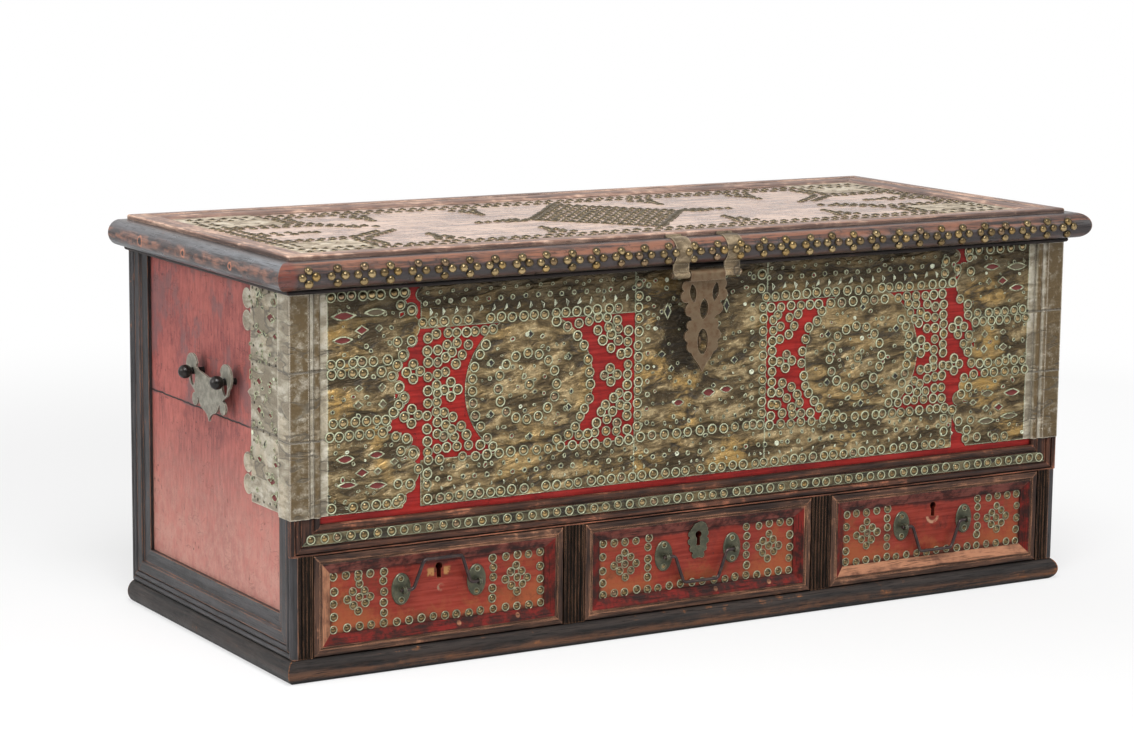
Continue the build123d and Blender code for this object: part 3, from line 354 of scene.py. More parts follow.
def drawer_slopes(colours, drawer, bare_left, bare_foot):
    """Red paint on the inner slope of a drawer's moulding, with how worn its left and lower members are."""
    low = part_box(drawer + "_moulding")[0]
    middle, half = middle_and_half(drawer + "_moulding")

    def tint(f, colour, patch, streak, shares):
        inset = (half.x - abs(f.x - middle.x)).least(half.z - abs(f.z - middle.z))
        sloped = inset.rise(11.2 * MM, 12.4 * MM)
        upright = shares["z"]
        left = upright * (f.x < middle.x)
        foot = (f.z < middle.z) * (1.0 - upright)
        head = (1.0 - foot) * (1.0 - upright)
        deep_red = tuple(0.30 * channel for channel in colours.drawer_red)
        paint = f.mix(patch.rise(0.42, 0.62), deep_red, linear(112, 24, 18))
        paint = f.mix(head * patch.rise(0.36, 0.62) * 0.8, paint, linear(118, 70, 60))
        stain = (patch * 0.6 + streak * 0.5).rise(0.58, 0.44)
        paint = f.mix(stain * 0.85, paint, linear(26, 14, 12))
        thin = (left * bare_left + foot * bare_foot + 0.04).most(patch.rise(0.62, 0.74) * 0.5)
        for plug in PLUGS:
            near = distance(f.x - middle.x - plug, f.z - low.z - PLUG_HEIGHT)
            thin = thin.most(near.rise(4.0 * MM, 2.6 * MM) * 0.9)
        tan = f.mix((streak * 0.6 + patch * 0.5).rise(0.62, 0.44), linear(172, 120, 90), linear(104, 66, 48))
        paint = f.mix(thin.rise(0.2, 1.0), paint, tan)
        return f.mix(sloped, colour, paint)
    return tint


# Nail holes in the left member of the lid's nose: distance from the front, then radius
NOSE_HOLES = ((390 * MM, 5.8 * MM), (252 * MM, 4.0 * MM), (110 * MM, 3.6 * MM))


def nose_band(f, colour, patch, streak, shares):
    """The lid's nose: a painted reflection on the ends' lacquer, a rubbed crest on the ends, brown streaks
    above and below in front.
    """
    up = f.z - LID_CREST
    end = shares["y"]
    front = 1.0 - end
    worn = patch * 0.7 + streak * 0.5
    # Painted reflection: a blue-grey sheen of the bright surroundings on the ends, above and below the crest,
    # stronger towards the front
    painted_sheen_above = up.rise(6 * MM, 11 * MM) * up.rise(17.8 * MM, 15 * MM) * 0.50
    painted_sheen_below = up.rise(-6 * MM, -11 * MM) * 0.85
    painted_sheen = painted_sheen_above.most(painted_sheen_below) * streak.rise(0.36, 0.52)
    painted_sheen = painted_sheen * (0.55 + 0.45 * f.y.rise(FRONT + 300 * MM, FRONT))
    colour = f.mix(end * painted_sheen, colour, linear(132, 138, 144))
    foot = up.rise(-8 * MM, -12 * MM) * up.rise(-16.5 * MM, -13.5 * MM) * worn.rise(0.48, 0.66)
    colour = f.mix(foot * front * 0.4, colour, linear(104, 62, 48))
    head = up.rise(3.5 * MM, 7 * MM) * up.rise(17.2 * MM, 16 * MM) * worn.rise(0.40, 0.62)
    colour = f.mix(head * front * streak.rise(0.32, 0.52) * 0.85, colour, linear(140, 90, 66))
    ragged = f.noise(16 * MM, f.vector(f.x, f.y * 0.5, f.z * 1.6), 4.0, 0.62)
    crest = abs(up).rise(12 * MM, 4 * MM) * (worn * 0.6 + (ragged - 0.5) * 1.1).rise(0.26, 0.50)
    colour = f.mix(crest * end * 0.78, colour, linear(146, 100, 80))
    corner = front * f.x.rise(LID_LEFT + 30 * MM, LID_LEFT + 20 * MM)
    colour = f.mix(corner * worn.rise(0.40, 0.58) * 0.7, colour, linear(108, 48, 34))
    for along, radius in NOSE_HOLES:
        near = distance(f.y - FRONT - along, up)
        colour = f.mix(end * near.rise(radius + 3 * MM, radius + 1 * MM), colour, linear(178, 112, 82))
        colour = f.mix(end * near.rise(radius + 0.2 * MM, radius - 1.2 * MM), colour, linear(24, 14, 12))
    return colour


def rubbed_foot(f, colour, patch, streak, shares):
    """Brown wood where feet have rubbed the plinth's lower front edge."""
    foot = shares["x"] * f.z.rise(22 * MM, 4 * MM) * (streak * 0.8 + patch * 0.4).rise(0.50, 0.68)
    return f.mix(foot * 0.75, colour, linear(128, 84, 56))


def unpolished_under(colours):
    """Plain wood on the lid's underside and back edge."""
    low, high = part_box("lid_board")

    def tint(f, colour, patch, streak, shares):
        under = f.z.rise(low.z + 2 * MM, low.z + 1 * MM).most(f.y.rise(high.y - 2 * MM, high.y - 1 * MM))
        grain = (streak * 0.7 + patch * 0.5).rise(0.40, 0.80)
        plain = f.mix(grain, linear(62, 42, 32), tuple(colours.inside))
        return f.mix(under, colour, plain)
    return tint


def bare_inside(f, colours, colour, mask):
    """Unpainted wood on the hidden faces of a painted board."""
    grain = f.noise(10 * MM, f.vector(f.x * 0.1, f.y * 0.1, f.z), 4.0, 0.65)
    plain = f.mix(grain.rise(0.36, 0.62), linear(62, 42, 30), tuple(colours.inside))
    return f.mix(mask, colour, plain)


def paint_coat(f, base, dull, bare, wear, place):
    """Old brushed paint: tone drifts, brush lines, rubbed and dirty places, and painted shade in corners.

    It gives back the colour, the height for a bump and the blotches.
    """
    drift = f.noise(110 * MM, None, 5.0, 0.65)
    brushed = f.noise(4 * MM, place, 5.0, 0.7)
    blotch = f.noise(20 * MM, None, 6.0, 0.75)
    fleck = f.noise(3.2 * MM, None, 4.0, 0.75)
    colour = f.mix((drift * 0.65 + blotch * 0.5).rise(0.44, 0.72), base, dull)
    colour = f.mix(brushed.rise(0.42, 0.70) * 0.6, colour, tuple(min(1.0, 1.3 * c + 0.02) for c in base))
    colour = f.mix(brushed.rise(0.50, 0.32) * 0.45, colour, tuple(0.5 * c for c in dull))
    thin = (blotch * 0.9 + fleck * 0.6 + f.edge(2 * MM) * 0.5 - 1.1 + wear).rise(0.0, 0.25)
    colour = f.mix(thin, colour, bare)
    # Painted shade: the paint is darkened where it is shut in, beside the sheets, studs and mouldings; the
    # dark pits are real marks
    grime_and_shade = f.hollow(14 * MM).rise(0.10, 0.65)
    dark_fleck = fleck.rise(0.58, 0.66) * blotch.rise(0.45, 0.60)
    colour = f.mix((grime_and_shade * 0.8).most(dark_fleck * 0.75), colour, tuple(0.16 * c for c in dull))
    height = brushed * 0.5 + blotch * 0.6 - dark_fleck * 0.6 + fleck * 0.3
    return colour, height, blotch


class CHEST_OT_woodwork(bpy.types.Operator):
    """Finish the plinth, mouldings, lid and plain boards in old hardwood"""
    bl_idname = "chest.woodwork"
    bl_label = "Woodwork"

    def execute(self, context):
        c = context.scene.chest_colours
        soot, umber, inside = tuple(c.soot), tuple(c.umber), tuple(c.inside)
        panel, panel_dark = tuple(c.panel), tuple(c.panel_dark)
        boxes = [drawer + "_box" for drawer in DRAWERS]
        plain_boards = ("bottom_board", "back_board", "chest_floor", "drawer_stops", *boxes)
        # Finish, grain, dark, middle and worn colours, wear, other values, then the nodes that it covers
        woods = [
            ("front_moulding_wood", "front frame", soot, umber, linear(168, 108, 82), 0.50, {},
             ("front_frame_moulding",)),
            ("end_moulding_wood", "end frame", linear(30, 29, 30), linear(62, 60, 62), linear(160, 106, 74),
             0.26, {"shine": 0.4}, ("left_end_moulding", "right_end_moulding")),
            ("plinth_wood", "level frame", linear(28, 25, 24), linear(56, 48, 44), linear(164, 104, 62),
             0.38, {"tint": rubbed_foot}, ("plinth_boards",)),
            ("reeded_wood", "z", linear(18, 14, 12), linear(34, 27, 22), linear(126, 92, 70),
             0.10, {"shine": 0.08}, ("corner_reeds", "left_divider", "right_divider")),
            ("lid_lip_wood", "level frame", linear(26, 20, 19), linear(46, 36, 34), linear(120, 84, 70),
             0.20, {}, ("lid_lip_moulding",)),
            ("lid_frame_wood", "level frame", linear(84, 60, 50), linear(150, 112, 94), linear(214, 180, 158),
             0.62, {"shine": 0.7}, ("lid_frame_moulding",)),
            ("lid_edge_wood", "level frame", linear(34, 27, 27), linear(54, 42, 42), linear(130, 100, 88),
             0.20, {"polish": 0.30, "tint": nose_band, "shine": 0.6}, ("lid_edge_moulding",)),
            ("lid_panel_wood", "x", panel_dark, panel, linear(222, 194, 176), 0.80,
             {"polish": 0.26, "depth": 0.25, "tint": unpolished_under(c), "shine": 1.0, "corner_dirt_and_shade": 0.5},
             ("lid_board",)),
            ("plain_wood_finish", "x", linear(70, 47, 33), inside, linear(138, 100, 70),
             0.30, {"polish": 0.62}, plain_boards),
        ]
        # How bare the paint has worn on the left and lower slopes of each drawer's moulding
        for drawer, bare_left, bare_foot in zip(DRAWERS, (1.0, 0.15, 0.1), (0.0, 0.1, 0.9)):
            node = drawer + "_moulding"
            woods.append((node + "_wood", node, linear(40, 28, 23), linear(92, 64, 50), linear(178, 128, 98),
                          0.46, {"tint": drawer_slopes(c, drawer, bare_left, bare_foot)}, (node,)))
        for name, grain, dark, mid, worn, wear, more, nodes in woods:
            dress(wood(name, grain, dark, mid, worn, wear, **more), *nodes)
        return {"FINISHED"}


# The crack along the end boards: its height in front, its slope, and how far behind the front it starts
CRACK_HEIGHT, CRACK_SLOPE, CRACK_START = 298.5 * MM, 0.008, 120 * MM


def front_paint(c):
    """Red paint of the front board."""
    f = Finish("front_red_paint")
    place = grain_place(f, {"x": 1.0})
    colour, height, _ = paint_coat(f, tuple(c.red), linear(112, 22, 22), linear(176, 70, 44), 0.05, place)
    colour = bare_inside(f, c, colour, f.y.rise(FIELD + 1 * MM, FIELD + 2 * MM))
    return f.surface(colour=colour, rough=0.56 + 0.1 * height, normal=f.bump(height, 0.5 * MM), specular=0.22)


def end_paint(c):
    """Faded red paint of the end boards: smoke above the crack, dust below it, scratches and pits."""
    f = Finish("end_red_paint")
    place = grain_place(f, {"z": 0.86})
    red, dull = tuple(c.end_red), tuple(c.end_dull)
    colour, height, blotch = paint_coat(f, red, dull, linear(176, 112, 96), 0.16, place)
    upper = f.z.rise(CRACK_HEIGHT - 1 * MM, CRACK_HEIGHT)
    rows = f.noise(50 * MM, f.vector(f.y, f.z * 0.15, 0.0), 3.0)
    colour = f.mix(upper * 0.16 + rows.rise(0.45, 0.75) * 0.26, colour, linear(136, 64, 60))
    smoke = f.noise(75 * MM, f.vector(f.y * 1.3, f.z * 0.8, 0.0), 5.0, 0.66).rise(0.50, 0.60) * upper
    colour = f.mix(smoke * (0.50 + blotch * 0.5), colour, linear(112, 76, 76))
    dusty = f.z.rise(320 * MM, 100 * MM) * (0.35 + 0.5 * blotch.rise(0.35, 0.65))
    colour = f.mix(dusty, colour, linear(186, 136, 122))

    wander = (f.noise(30 * MM, f.vector(f.y, 0.0, 0.0), 4.0, 0.65) - 0.5) * (6 * MM)
    aside = f.z - (CRACK_HEIGHT + (f.y - FRONT) * CRACK_SLOPE + wander)
    crack = abs(aside).rise(1.5 * MM, 0.6 * MM) * f.y.rise(FRONT + CRACK_START, FRONT + CRACK_START + 30 * MM)
    scratch_place = f.vector(f.y * 0.8 + f.z * 0.35, f.z * 2.2, 0.0)
    scratch = abs(f.noise(85 * MM, scratch_place, 4.0, 0.7) - 0.5).rise(0.006, 0.001)
    scratch = scratch * f.noise(60 * MM, None, 2.0).rise(0.52, 0.68)
    dash = f.noise(5 * MM, f.vector(f.y, f.z * 0.45, 0.0), 2.0, 0.5).rise(0.66, 0.72)
    dash = dash * f.noise(50 * MM, None, 3.0).rise(0.42, 0.60)
    pit = (f.cells(21 * MM).rise(0.10, 0.05) * f.noise(35 * MM, None, 2.0).rise(0.5, 0.6)).most(dash * 0.8)
    colour = f.mix(crack.most(scratch * 0.55).most(pit * 0.7), colour, linear(36, 22, 20))
    height = height - crack * 3.0 - scratch * 0.8 - pit * 1.2

    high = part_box("right_end_board")[1]
    inner_face = abs(f.x).rise(high.x - 1 * MM, high.x - 2 * MM)
    back_edge = f.y.rise(high.y - 1.5 * MM, high.y - 0.5 * MM)
    colour = bare_inside(f, c, colour, inner_face.most(back_edge))
    return f.surface(colour=colour, rough=0.52 + 0.12 * blotch, normal=f.bump(height, 0.7 * MM))


def ring_mark(across, up, square, outer, inner):
    """Trace of a lost ring, where the squared distance from its middle is near square (all in mm2)."""
    off = abs(across * across + up * up - square * MM * MM)
    return off.rise(outer * MM * MM, inner * MM * MM)


def drawer_paint(c, drawer):
    """Red paint of a drawer's front, thin towards its ends and foot, with traces of lost fittings, and dirt
    and painted shade along its edges.
    """
    middle = middle_and_half(drawer + "_front")[0]
    f = Finish(drawer + "_paint")
    place = grain_place(f, {"x": 1.0})
    red, amber = tuple(c.drawer_red), tuple(c.amber)
    colour, height, blotch = paint_coat(f, red, linear(112, 30, 22), amber, 0.16, place)
    across, up = f.x - middle.x, f.z - middle.z
    aside = abs(across)
    foot = up.rise(15 * MM, -35 * MM)
    glow = (aside.rise(40 * MM, 140 * MM) * 0.45 + foot * 0.50 + (blotch - 0.5) * 2.2).rise(0.20, 0.90)
    colour = f.mix(glow * 0.80, colour, amber)
    # Dirt and painted shade: darker along the panel's edges, next to the moulding
    shaded_margin = aside.rise(146 * MM, 155 * MM).most(abs(up).rise(31 * MM, 38.5 * MM))
    stain = (shaded_margin * 0.60 + (f.noise(40 * MM, None, 6.0, 0.68) - 0.5) * 2.6 + 0.12).rise(0.15, 0.80)
    colour = f.mix(stain * 0.85, colour, linear(52, 20, 15))
    if drawer == "left_drawer":
        scrap = aside.rise(6 * MM, 8 * MM) * aside.rise(19 * MM, 15 * MM)
        scrap = scrap * abs(f.z - 119.5 * MM).rise(6.5 * MM, 3.5 * MM)
        colour = f.mix(scrap * blotch.rise(0.47, 0.53) * 0.9, colour, linear(176, 130, 78))
        ring = ring_mark(across - 3 * MM, f.z - 98.5 * MM, 18.5, 18, 4)
        colour = f.mix(ring * blotch.rise(0.40, 0.60) * 0.8, colour, linear(150, 128, 104))
    if drawer == "right_drawer":
        ring = ring_mark(across, f.z - 112 * MM, 90, 55, 20) * f.z.rise(112 * MM, 110 * MM)
        colour = f.mix(ring * blotch.rise(0.38, 0.55) * 0.8, colour, linear(184, 146, 116))
    rough = 0.46 + 0.12 * blotch
    return f.surface(colour=colour, rough=rough, normal=f.bump(height, 0.5 * MM), specular=0.25)


class CHEST_OT_paintwork(bpy.types.Operator):
    """Paint the front board, the end boards and the drawer fronts red"""
    bl_idname = "chest.paintwork"
    bl_label = "Paintwork"

    def execute(self, context):
        colours = context.scene.chest_colours
        dress(front_paint(colours), "front_board")
        dress(end_paint(colours), "left_end_board", "right_end_board")
        for drawer in DRAWERS:
            dress(drawer_paint(colours, drawer), drawer + "_front")
        return {"FINISHED"}


# ---- metals -------------------------------------------------------------------------------------------
# Heights of the seams where the sheets of a corner and of an end meet, and of the centre sheet's fold
SHEET_SEAMS = (302 * MM, 388 * MM)
CENTRE_FOLD = (268 * MM,)
CORNER_RIB = 574.5 * MM


def lid_shadow(f, blotch):
    """Painted shadow of the lid's edge on the sheets below it."""
    return f.z.rise(418 * MM, 458 * MM) * (0.62 + 0.7 * (blotch - 0.5))


def hasp_shadow(f, blotch):
    """Painted shadow of the hasp on the centre sheet, joined to the painted shadow below the lid's edge."""
    near = distance((f.x + 34 * MM) / (38 * MM), (f.z - 392 * MM) / (66 * MM))
    return (near + (blotch - 0.5) * 1.6).rise(1.15, 0.55).most(lid_shadow(f, blotch)) * 0.95


def front_stain(f, blotch):
    """Brown patina on the front of the corner sheets, heavier on the right and along the moulding's rib."""
    front = f.y.rise(FRONT + 3 * MM, FRONT - 0.2 * MM)
    rib = abs(abs(f.x) - CORNER_RIB).rise(2.2 * MM, 1.0 * MM)
    right = f.x.rise(0.0, 100 * MM)
    patina = front * (0.44 + right * 0.22 + 0.60 * blotch.rise(0.66, 0.40))
    return patina.least(1.0).most(front * rib)


def sheet_brass(name, gold_colour, base, dark, pale, gold, ripple=1.0, level=False, seams=(), stain=None,
                soot=None, rim=(192, 200, 172)):
    """Thin beaten brass: long swellings, dirt in the hollows, rubbed crests, pale corrosion, and painted
    shade in corners and creases.

    gold is the share of warmer patches, level says that the sheet lies flat, stain is a function that gives
    where the soot colour goes (painted shadow below the lid's edge and the hasp, patina on the corners'
    fronts), and rim is the screen colour of corroded edges.
    """
    f = Finish(name)
    stretched = f.vector(f.x * 0.6, f.y, f.z) if level else f.vector(f.x * 0.36, f.y * 0.36, f.z - f.x * 0.07)
    swell = f.noise(21 * MM, stretched, 2.0, 0.45, 0.5)
    dent = f.noise(9 * MM, stretched, 3.0, 0.58, 0.7)
    fine = f.noise(2 * MM, None, 3.0, 0.65)
    drift = f.noise(70 * MM, None, 3.0, 0.55)
    blotch = f.noise(16 * MM, None, 6.0, 0.70)
    high = (swell * 0.55 + dent * 0.45 + (blotch - 0.5) * 0.15).rise(0.40, 0.60)
    colour = f.mix(high, dark, base)
    colour = f.mix(high.rise(0.55, 1.0) * blotch.rise(0.40, 0.62) * 0.7, colour, pale)
    colour = f.mix(drift.rise(0.50, 0.62) * high * blotch.rise(0.32, 0.56) * gold, colour, gold_colour)
    # Soot colour where stain puts it: painted shadow of the lid's edge and of the hasp, and patina on the
    # corners' fronts
    if stain:
        colour = f.mix(stain(f, blotch), colour, soot or tuple(0.45 * v for v in dark))
    speck = fine.rise(0.60, 0.68) * blotch.rise(0.48, 0.60)
    colour = f.mix(speck * 0.5, colour, linear(*(0.93 * v for v in rim)))
    colour = f.mix(f.edge(2.6 * MM).rise(0.02, 0.35), colour, linear(*rim))
    # Painted shade: dark creases along the swellings and darkening where the sheet is shut in, with dirt in
    # fine pits
    crease = abs(swell - 0.44).rise(0.034, 0.006) * drift.rise(0.42, 0.52)
    grime_and_shade = f.hollow(9 * MM).rise(0.10, 0.60).most(fine.rise(0.42, 0.30) * 0.6).most(crease * 0.8)
    height = ((swell - 0.5) * 3.4 + (dent - 0.5) * 1.7) * ripple + (fine - 0.5) * 0.12 - crease * 0.12
    for seam in seams:
        wander = (f.noise(20 * MM, f.vector(f.x, f.y, 0.0)) - 0.5) * (3 * MM)
        line = abs(f.z - seam - wander)
        grime_and_shade = grime_and_shade.most(line.rise(1.1 * MM, 0.4 * MM))
        height = height - line.rise(2.2 * MM, 0.6 * MM) * 0.35
    # Dirt and painted shade darken the colour; the seams are dark joints
    colour = f.mix(grime_and_shade * 0.85, colour, tuple(0.3 * v for v in dark))
    metal = 0.50 - 0.40 * grime_and_shade - 0.25 * speck
    rough = 0.40 + 0.12 * (1.0 - high) + 0.20 * (blotch - 0.5)
    return f.surface(colour=colour, rough=rough, metal=metal, normal=f.bump(height, 6 * MM))


class CHEST_OT_brass_sheets(bpy.types.Operator):
    """Finish the pierced brass sheets and the hasp's straps"""
    bl_idname = "chest.brass_sheets"
    bl_label = "Brass Sheets"

    def execute(self, context):
        c = context.scene.chest_colours
        base, dark, pale = tuple(c.brass), tuple(c.brass_dark), tuple(c.brass_pale)
        end_base, end_pale = tuple(0.86 * v for v in base), tuple(0.85 * v for v in pale)
        centre_base = tuple(0.90 * v for v in base)
        # Finish, base, dark and pale colours, share of gold, other values, then the nodes that it covers
        sheets = (
            ("end_sheet_brass", end_base, dark, end_pale, 1.0, {"seams": SHEET_SEAMS, "stain": lid_shadow},
             ("left_end_sheets", "right_end_sheets")),
            ("field_sheet_brass", base, dark, pale, 0.55, {"stain": lid_shadow},
             ("left_medallion_sheet", "right_medallion_sheet")),
            ("centre_sheet_brass", centre_base, dark, pale, 1.0, {"seams": CENTRE_FOLD, "stain": hasp_shadow},
             ("centre_sheet",)),
            ("corner_sheet_brass", tuple(c.zinc), linear(134, 124, 106), linear(206, 200, 186), 0.25,
             {"ripple": 0.20, "seams": SHEET_SEAMS, "stain": front_stain, "soot": linear(98, 81, 54),
              "rim": (204, 196, 180)}, ("left_corner_sheets", "right_corner_sheets")),
            ("rail_brass", linear(86, 78, 56), linear(44, 38, 26), linear(120, 110, 82), 0.3,
             {"ripple": 0.15, "rim": (150, 152, 124)}, ("rail_strip",)),
            ("lid_sheet_brass", linear(208, 192, 166), linear(156, 138, 114), linear(236, 226, 206), 0.3,
             {"ripple": 0.3, "level": True, "rim": (220, 208, 186)}, ("lid_corner_sheets",)),
            ("strap_brass", linear(150, 132, 104), linear(92, 78, 58), linear(190, 170, 142), 0.2,
             {"ripple": 0.12, "rim": (196, 178, 150)}, ("hasp_straps",)),
        )
        for name, base, dark, pale, gold, more, nodes in sheets:
            dress(sheet_brass(name, tuple(c.brass_gold), base, dark, pale, gold, **more), *nodes)
        return {"FINISHED"}


def old_metal(name, base, patch_colour, worn, metal, rough, depth=0.3):
    """Forged or cast metal with a patina, rubbed on its edges, with dirt and painted shade in its hollows;
    depth is that of its dents in mm.
    """
    f = Finish(name)
    blotch = f.noise(8 * MM, None, 4.0, 0.65)
    fine = f.noise(1.6 * MM, None, 3.0, 0.65)
    # Painted shade: the colour is darkened where the metal is shut in
    grime_and_shade = f.hollow(6 * MM).rise(0.2, 0.8)
    colour = f.mix(blotch.rise(0.40, 0.68), base, patch_colour)
    rub = (f.edge(1.2 * MM) * 0.9 + fine * 0.4 - 0.25).rise(0.15, 0.75)
    colour = f.mix(rub * 0.8, colour, worn)
    colour = f.mix(grime_and_shade * 0.7, colour, tuple(0.35 * v for v in base))
    height = blotch * 0.7 + fine * 0.35
    rough = rough - 0.12 * rub + 0.1 * (blotch - 0.5)
    metal = metal - 0.3 * grime_and_shade
    return f.surface(colour=colour, rough=rough, metal=metal, normal=f.bump(height, depth * MM))


class CHEST_OT_ironwork(bpy.types.Operator):
    """Finish the hasp, hinges, bails, locks and handles"""
    bl_idname = "chest.ironwork"
    bl_label = "Ironwork"

    def execute(self, context):
        c = context.scene.chest_colours
        iron, rust, plate = tuple(c.iron), tuple(c.rust), tuple(c.plate)
        bails = [drawer + "_bail" for drawer in DRAWERS]
        plates = [drawer + "_bail_plates" for drawer in DRAWERS]
        locks = [drawer + "_lock" for drawer in DRAWERS]
        # Finish, base, patch and worn colours, metal, roughness, depth of its unevenness (mm), then the nodes
        metals = (
            ("hasp_iron", iron, rust, linear(176, 156, 134), 0.6, 0.46, 0.6,
             ("hasp", "hasp_rod", "hasp_staple")),
            ("bail_iron", linear(58, 50, 50), linear(80, 66, 62), linear(146, 128, 122), 0.7, 0.36, 0.3,
             bails),
            ("hinge_iron", linear(62, 56, 52), rust, linear(128, 116, 104), 0.7, 0.55, 0.5,
             ("hinge_case_leaves", "hinge_lid_leaves", "hinge_pins", *locks)),
            ("drawer_plate_brass", linear(70, 72, 58), linear(92, 90, 72), linear(150, 150, 128),
             0.6, 0.42, 0.6, (*plates, "centre_drawer_escutcheon")),
            ("handle_plate_brass", plate, linear(150, 146, 132), linear(204, 202, 190), 0.35, 0.42, 1.4,
             ("left_handle_plate", "right_handle_plate")),
            ("handle_post_iron", linear(26, 23, 22), linear(40, 35, 33), linear(130, 122, 112),
             0.5, 0.28, 0.3, ("left_handle_posts", "right_handle_posts")),
        )
        for name, base, patch, worn, metal, rough, depth, nodes in metals:
            dress(old_metal(name, base, patch, worn, metal, rough, depth), *nodes)
        return {"FINISHED"}


# ---- small repeated fittings --------------------------------------------------------------------------
class Pattern:
    """A turned shape: (radius, height, zone) points spun round its axis; pinch draws it out to points."""

    def __init__(self, name, profile, segments, pinch=0.0):
        bm = bmesh.new()
        spine = [bm.verts.new((radius, 0.0, height)) for radius, height, _ in profile]
        edges = [bm.edges.new(pair) for pair in zip(spine, spine[1:])]
        bmesh.ops.spin(bm, geom=spine + edges, cent=(0, 0, 0), axis=(0, 0, 1), angle=math.tau, steps=segments,
                       use_merge=True)
        bmesh.ops.remove_doubles(bm, verts=bm.verts, dist=1e-6)
        bmesh.ops.recalc_face_normals(bm, faces=bm.faces)
        self.mesh = bpy.data.meshes.new(name)
        bm.to_mesh(self.mesh)
        bm.free()
        self.zones = []
        for vertex in self.mesh.vertices:
            x, y, z = vertex.co
            radius = math.hypot(x, y)
            nearest = min(profile, key=lambda point: math.hypot(point[0] - radius, point[1] - z))
            self.zones.append(nearest[2])
            if pinch and radius > 0.0:
                vertex.co.y *= abs(y / radius) ** pinch


class Crowd:
    """Copies of small patterns joined into one piece, with a zone and a tint for each copy's finish."""

    def __init__(self, name, seed):
        self.name = name
        self.bm = bmesh.new()
        self.zones = []
        self.tints = []
        self.chance = random.Random(seed)

    def add(self, pattern, place, tint=None, crumple=0.0):
        """A copy at a place; crumple is how far its corners may stray, in mm."""
        start = len(self.bm.verts)
        self.bm.from_mesh(pattern.mesh)
        self.bm.verts.ensure_lookup_table()
        fresh = self.bm.verts[start:]
        bmesh.ops.transform(self.bm, matrix=place, verts=fresh)
        if crumple:
            for vertex in fresh:
                vertex.co += Vector([self.chance.uniform(-crumple, crumple) * MM for _ in range(3)])
        self.zones += pattern.zones
        self.tints += [self.chance.random() if tint is None else tint] * len(fresh)

    def stud(self, pattern, point, outward, scale=1.0, drift=0.0, stretch=1.0, spin=0.0, tilt=4.0, tint=None,
             crumple=0.0):
        """A copy on a surface, a little off true as hand-driven studs are."""
        chance = self.chance
        shift = Vector((chance.uniform(-drift, drift), chance.uniform(-drift, drift), 0.0)) * MM
        turn = outward.to_track_quat("Z", "Y").to_matrix().to_4x4()
        lean = Matrix.Rotation(math.radians(chance.uniform(-tilt, tilt)), 4, "X")
        lean = lean @ Matrix.Rotation(math.radians(chance.uniform(-tilt, tilt)), 4, "Y")
        size = scale * chance.uniform(0.95, 1.06)
        squash = Matrix.Diagonal((size * stretch, size, size * chance.uniform(0.85, 1.12), 1.0))
        twist = Matrix.Rotation(math.radians(spin + chance.uniform(-8, 8)), 4, "Z")
        place = Matrix.Translation(point) @ turn @ Matrix.Translation(shift) @ lean @ twist @ squash
        self.add(pattern, place, tint, crumple)

    def finish(self, material, body, slot):
        """Make the piece and let it ride on its body."""
        zone = self.bm.verts.layers.float.new("zone")
        tint = self.bm.verts.layers.float.new("tint")
        for vertex, zone_value, tint_value in zip(self.bm.verts, self.zones, self.tints):
            vertex[zone] = zone_value
            vertex[tint] = tint_value
        for face in self.bm.faces:
            face.smooth = True
        mesh = bpy.data.meshes.new(self.name)
        self.bm.to_mesh(mesh)
        self.bm.free()
        if not mesh.polygons:
            raise RuntimeError(self.name + " came out empty")
        piece = bpy.data.objects.new(self.name, mesh)
        bpy.context.collection.objects.link(piece)
        mesh.materials.append(material)
        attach(piece, body)


def studded(sizes):
    """Domed stud set in a raised rim of sheet."""
    r, h = sizes.stud_radius, sizes.stud_height
    profile = [(0.0, -0.9 * MM, 0.0), (r, -0.9 * MM, 0.0), (0.99 * r, 0.28 * h, 0.10),
               (0.89 * r, 0.42 * h, 0.20), (0.80 * r, 0.28 * h, 0.32), (0.73 * r, 0.00 * h, 0.45),
               (0.64 * r, 0.02 * h, 0.50), (0.54 * r, 0.48 * h, 0.66), (0.30 * r, 0.76 * h, 0.82),
               (0.0, 0.86 * h, 1.0)]
    return Pattern("rimmed_stud", profile, 10)


def domed(sizes):
    """Plain domed stud."""
    r = sizes.dome_radius
    profile = [(0.0, -1.2 * MM, 0.5), (r, -1.2 * MM, 0.5), (r, 0.18 * r, 0.55),
               (0.84 * r, 0.54 * r, 0.7), (0.45 * r, 0.80 * r, 0.85), (0.0, 0.90 * r, 1.0)]
    return Pattern("plain_dome", profile, 9)


def punched(sizes):
    """Small hole with its edge turned up."""
    r = sizes.hole_radius
    profile = [(0.0, -0.5 * MM, 0.0), (r, -0.5 * MM, 0.0), (0.86 * r, 0.30 * r, 0.18),
               (0.62 * r, 0.26 * r, 0.30), (0.50 * r, 0.05 * r, 0.50), (0.0, 0.03 * r, 0.50)]
    return Pattern("punched_rim", profile, 8)


def opening(name, segments, pinch=0.0):
    """Turned-up edge round a larger opening, one unit from its middle, with a disc over the board inside it,
    which takes brown dirt, painted shadow or the board's red in painted shade.
    """
    profile = [(0.0, 0.02 * MM, 0.5), (0.90, 0.02 * MM, 0.5), (0.97, 0.9 * MM, 0.30),
               (1.06, 1.0 * MM, 0.2), (1.20, 0.5 * MM, 0.1), (1.26, -0.3 * MM, 0.0)]
    return Pattern(name, profile, segments, pinch)


def nail(sizes):
    """Low nail head."""
    r = sizes.nail_radius
    profile = [(0.0, -0.4 * MM, 0.5), (r, -0.4 * MM, 0.5), (0.8 * r, 0.35 * r, 0.7), (0.0, 0.5 * r, 1.0)]
    return Pattern("nail_head", profile, 7)


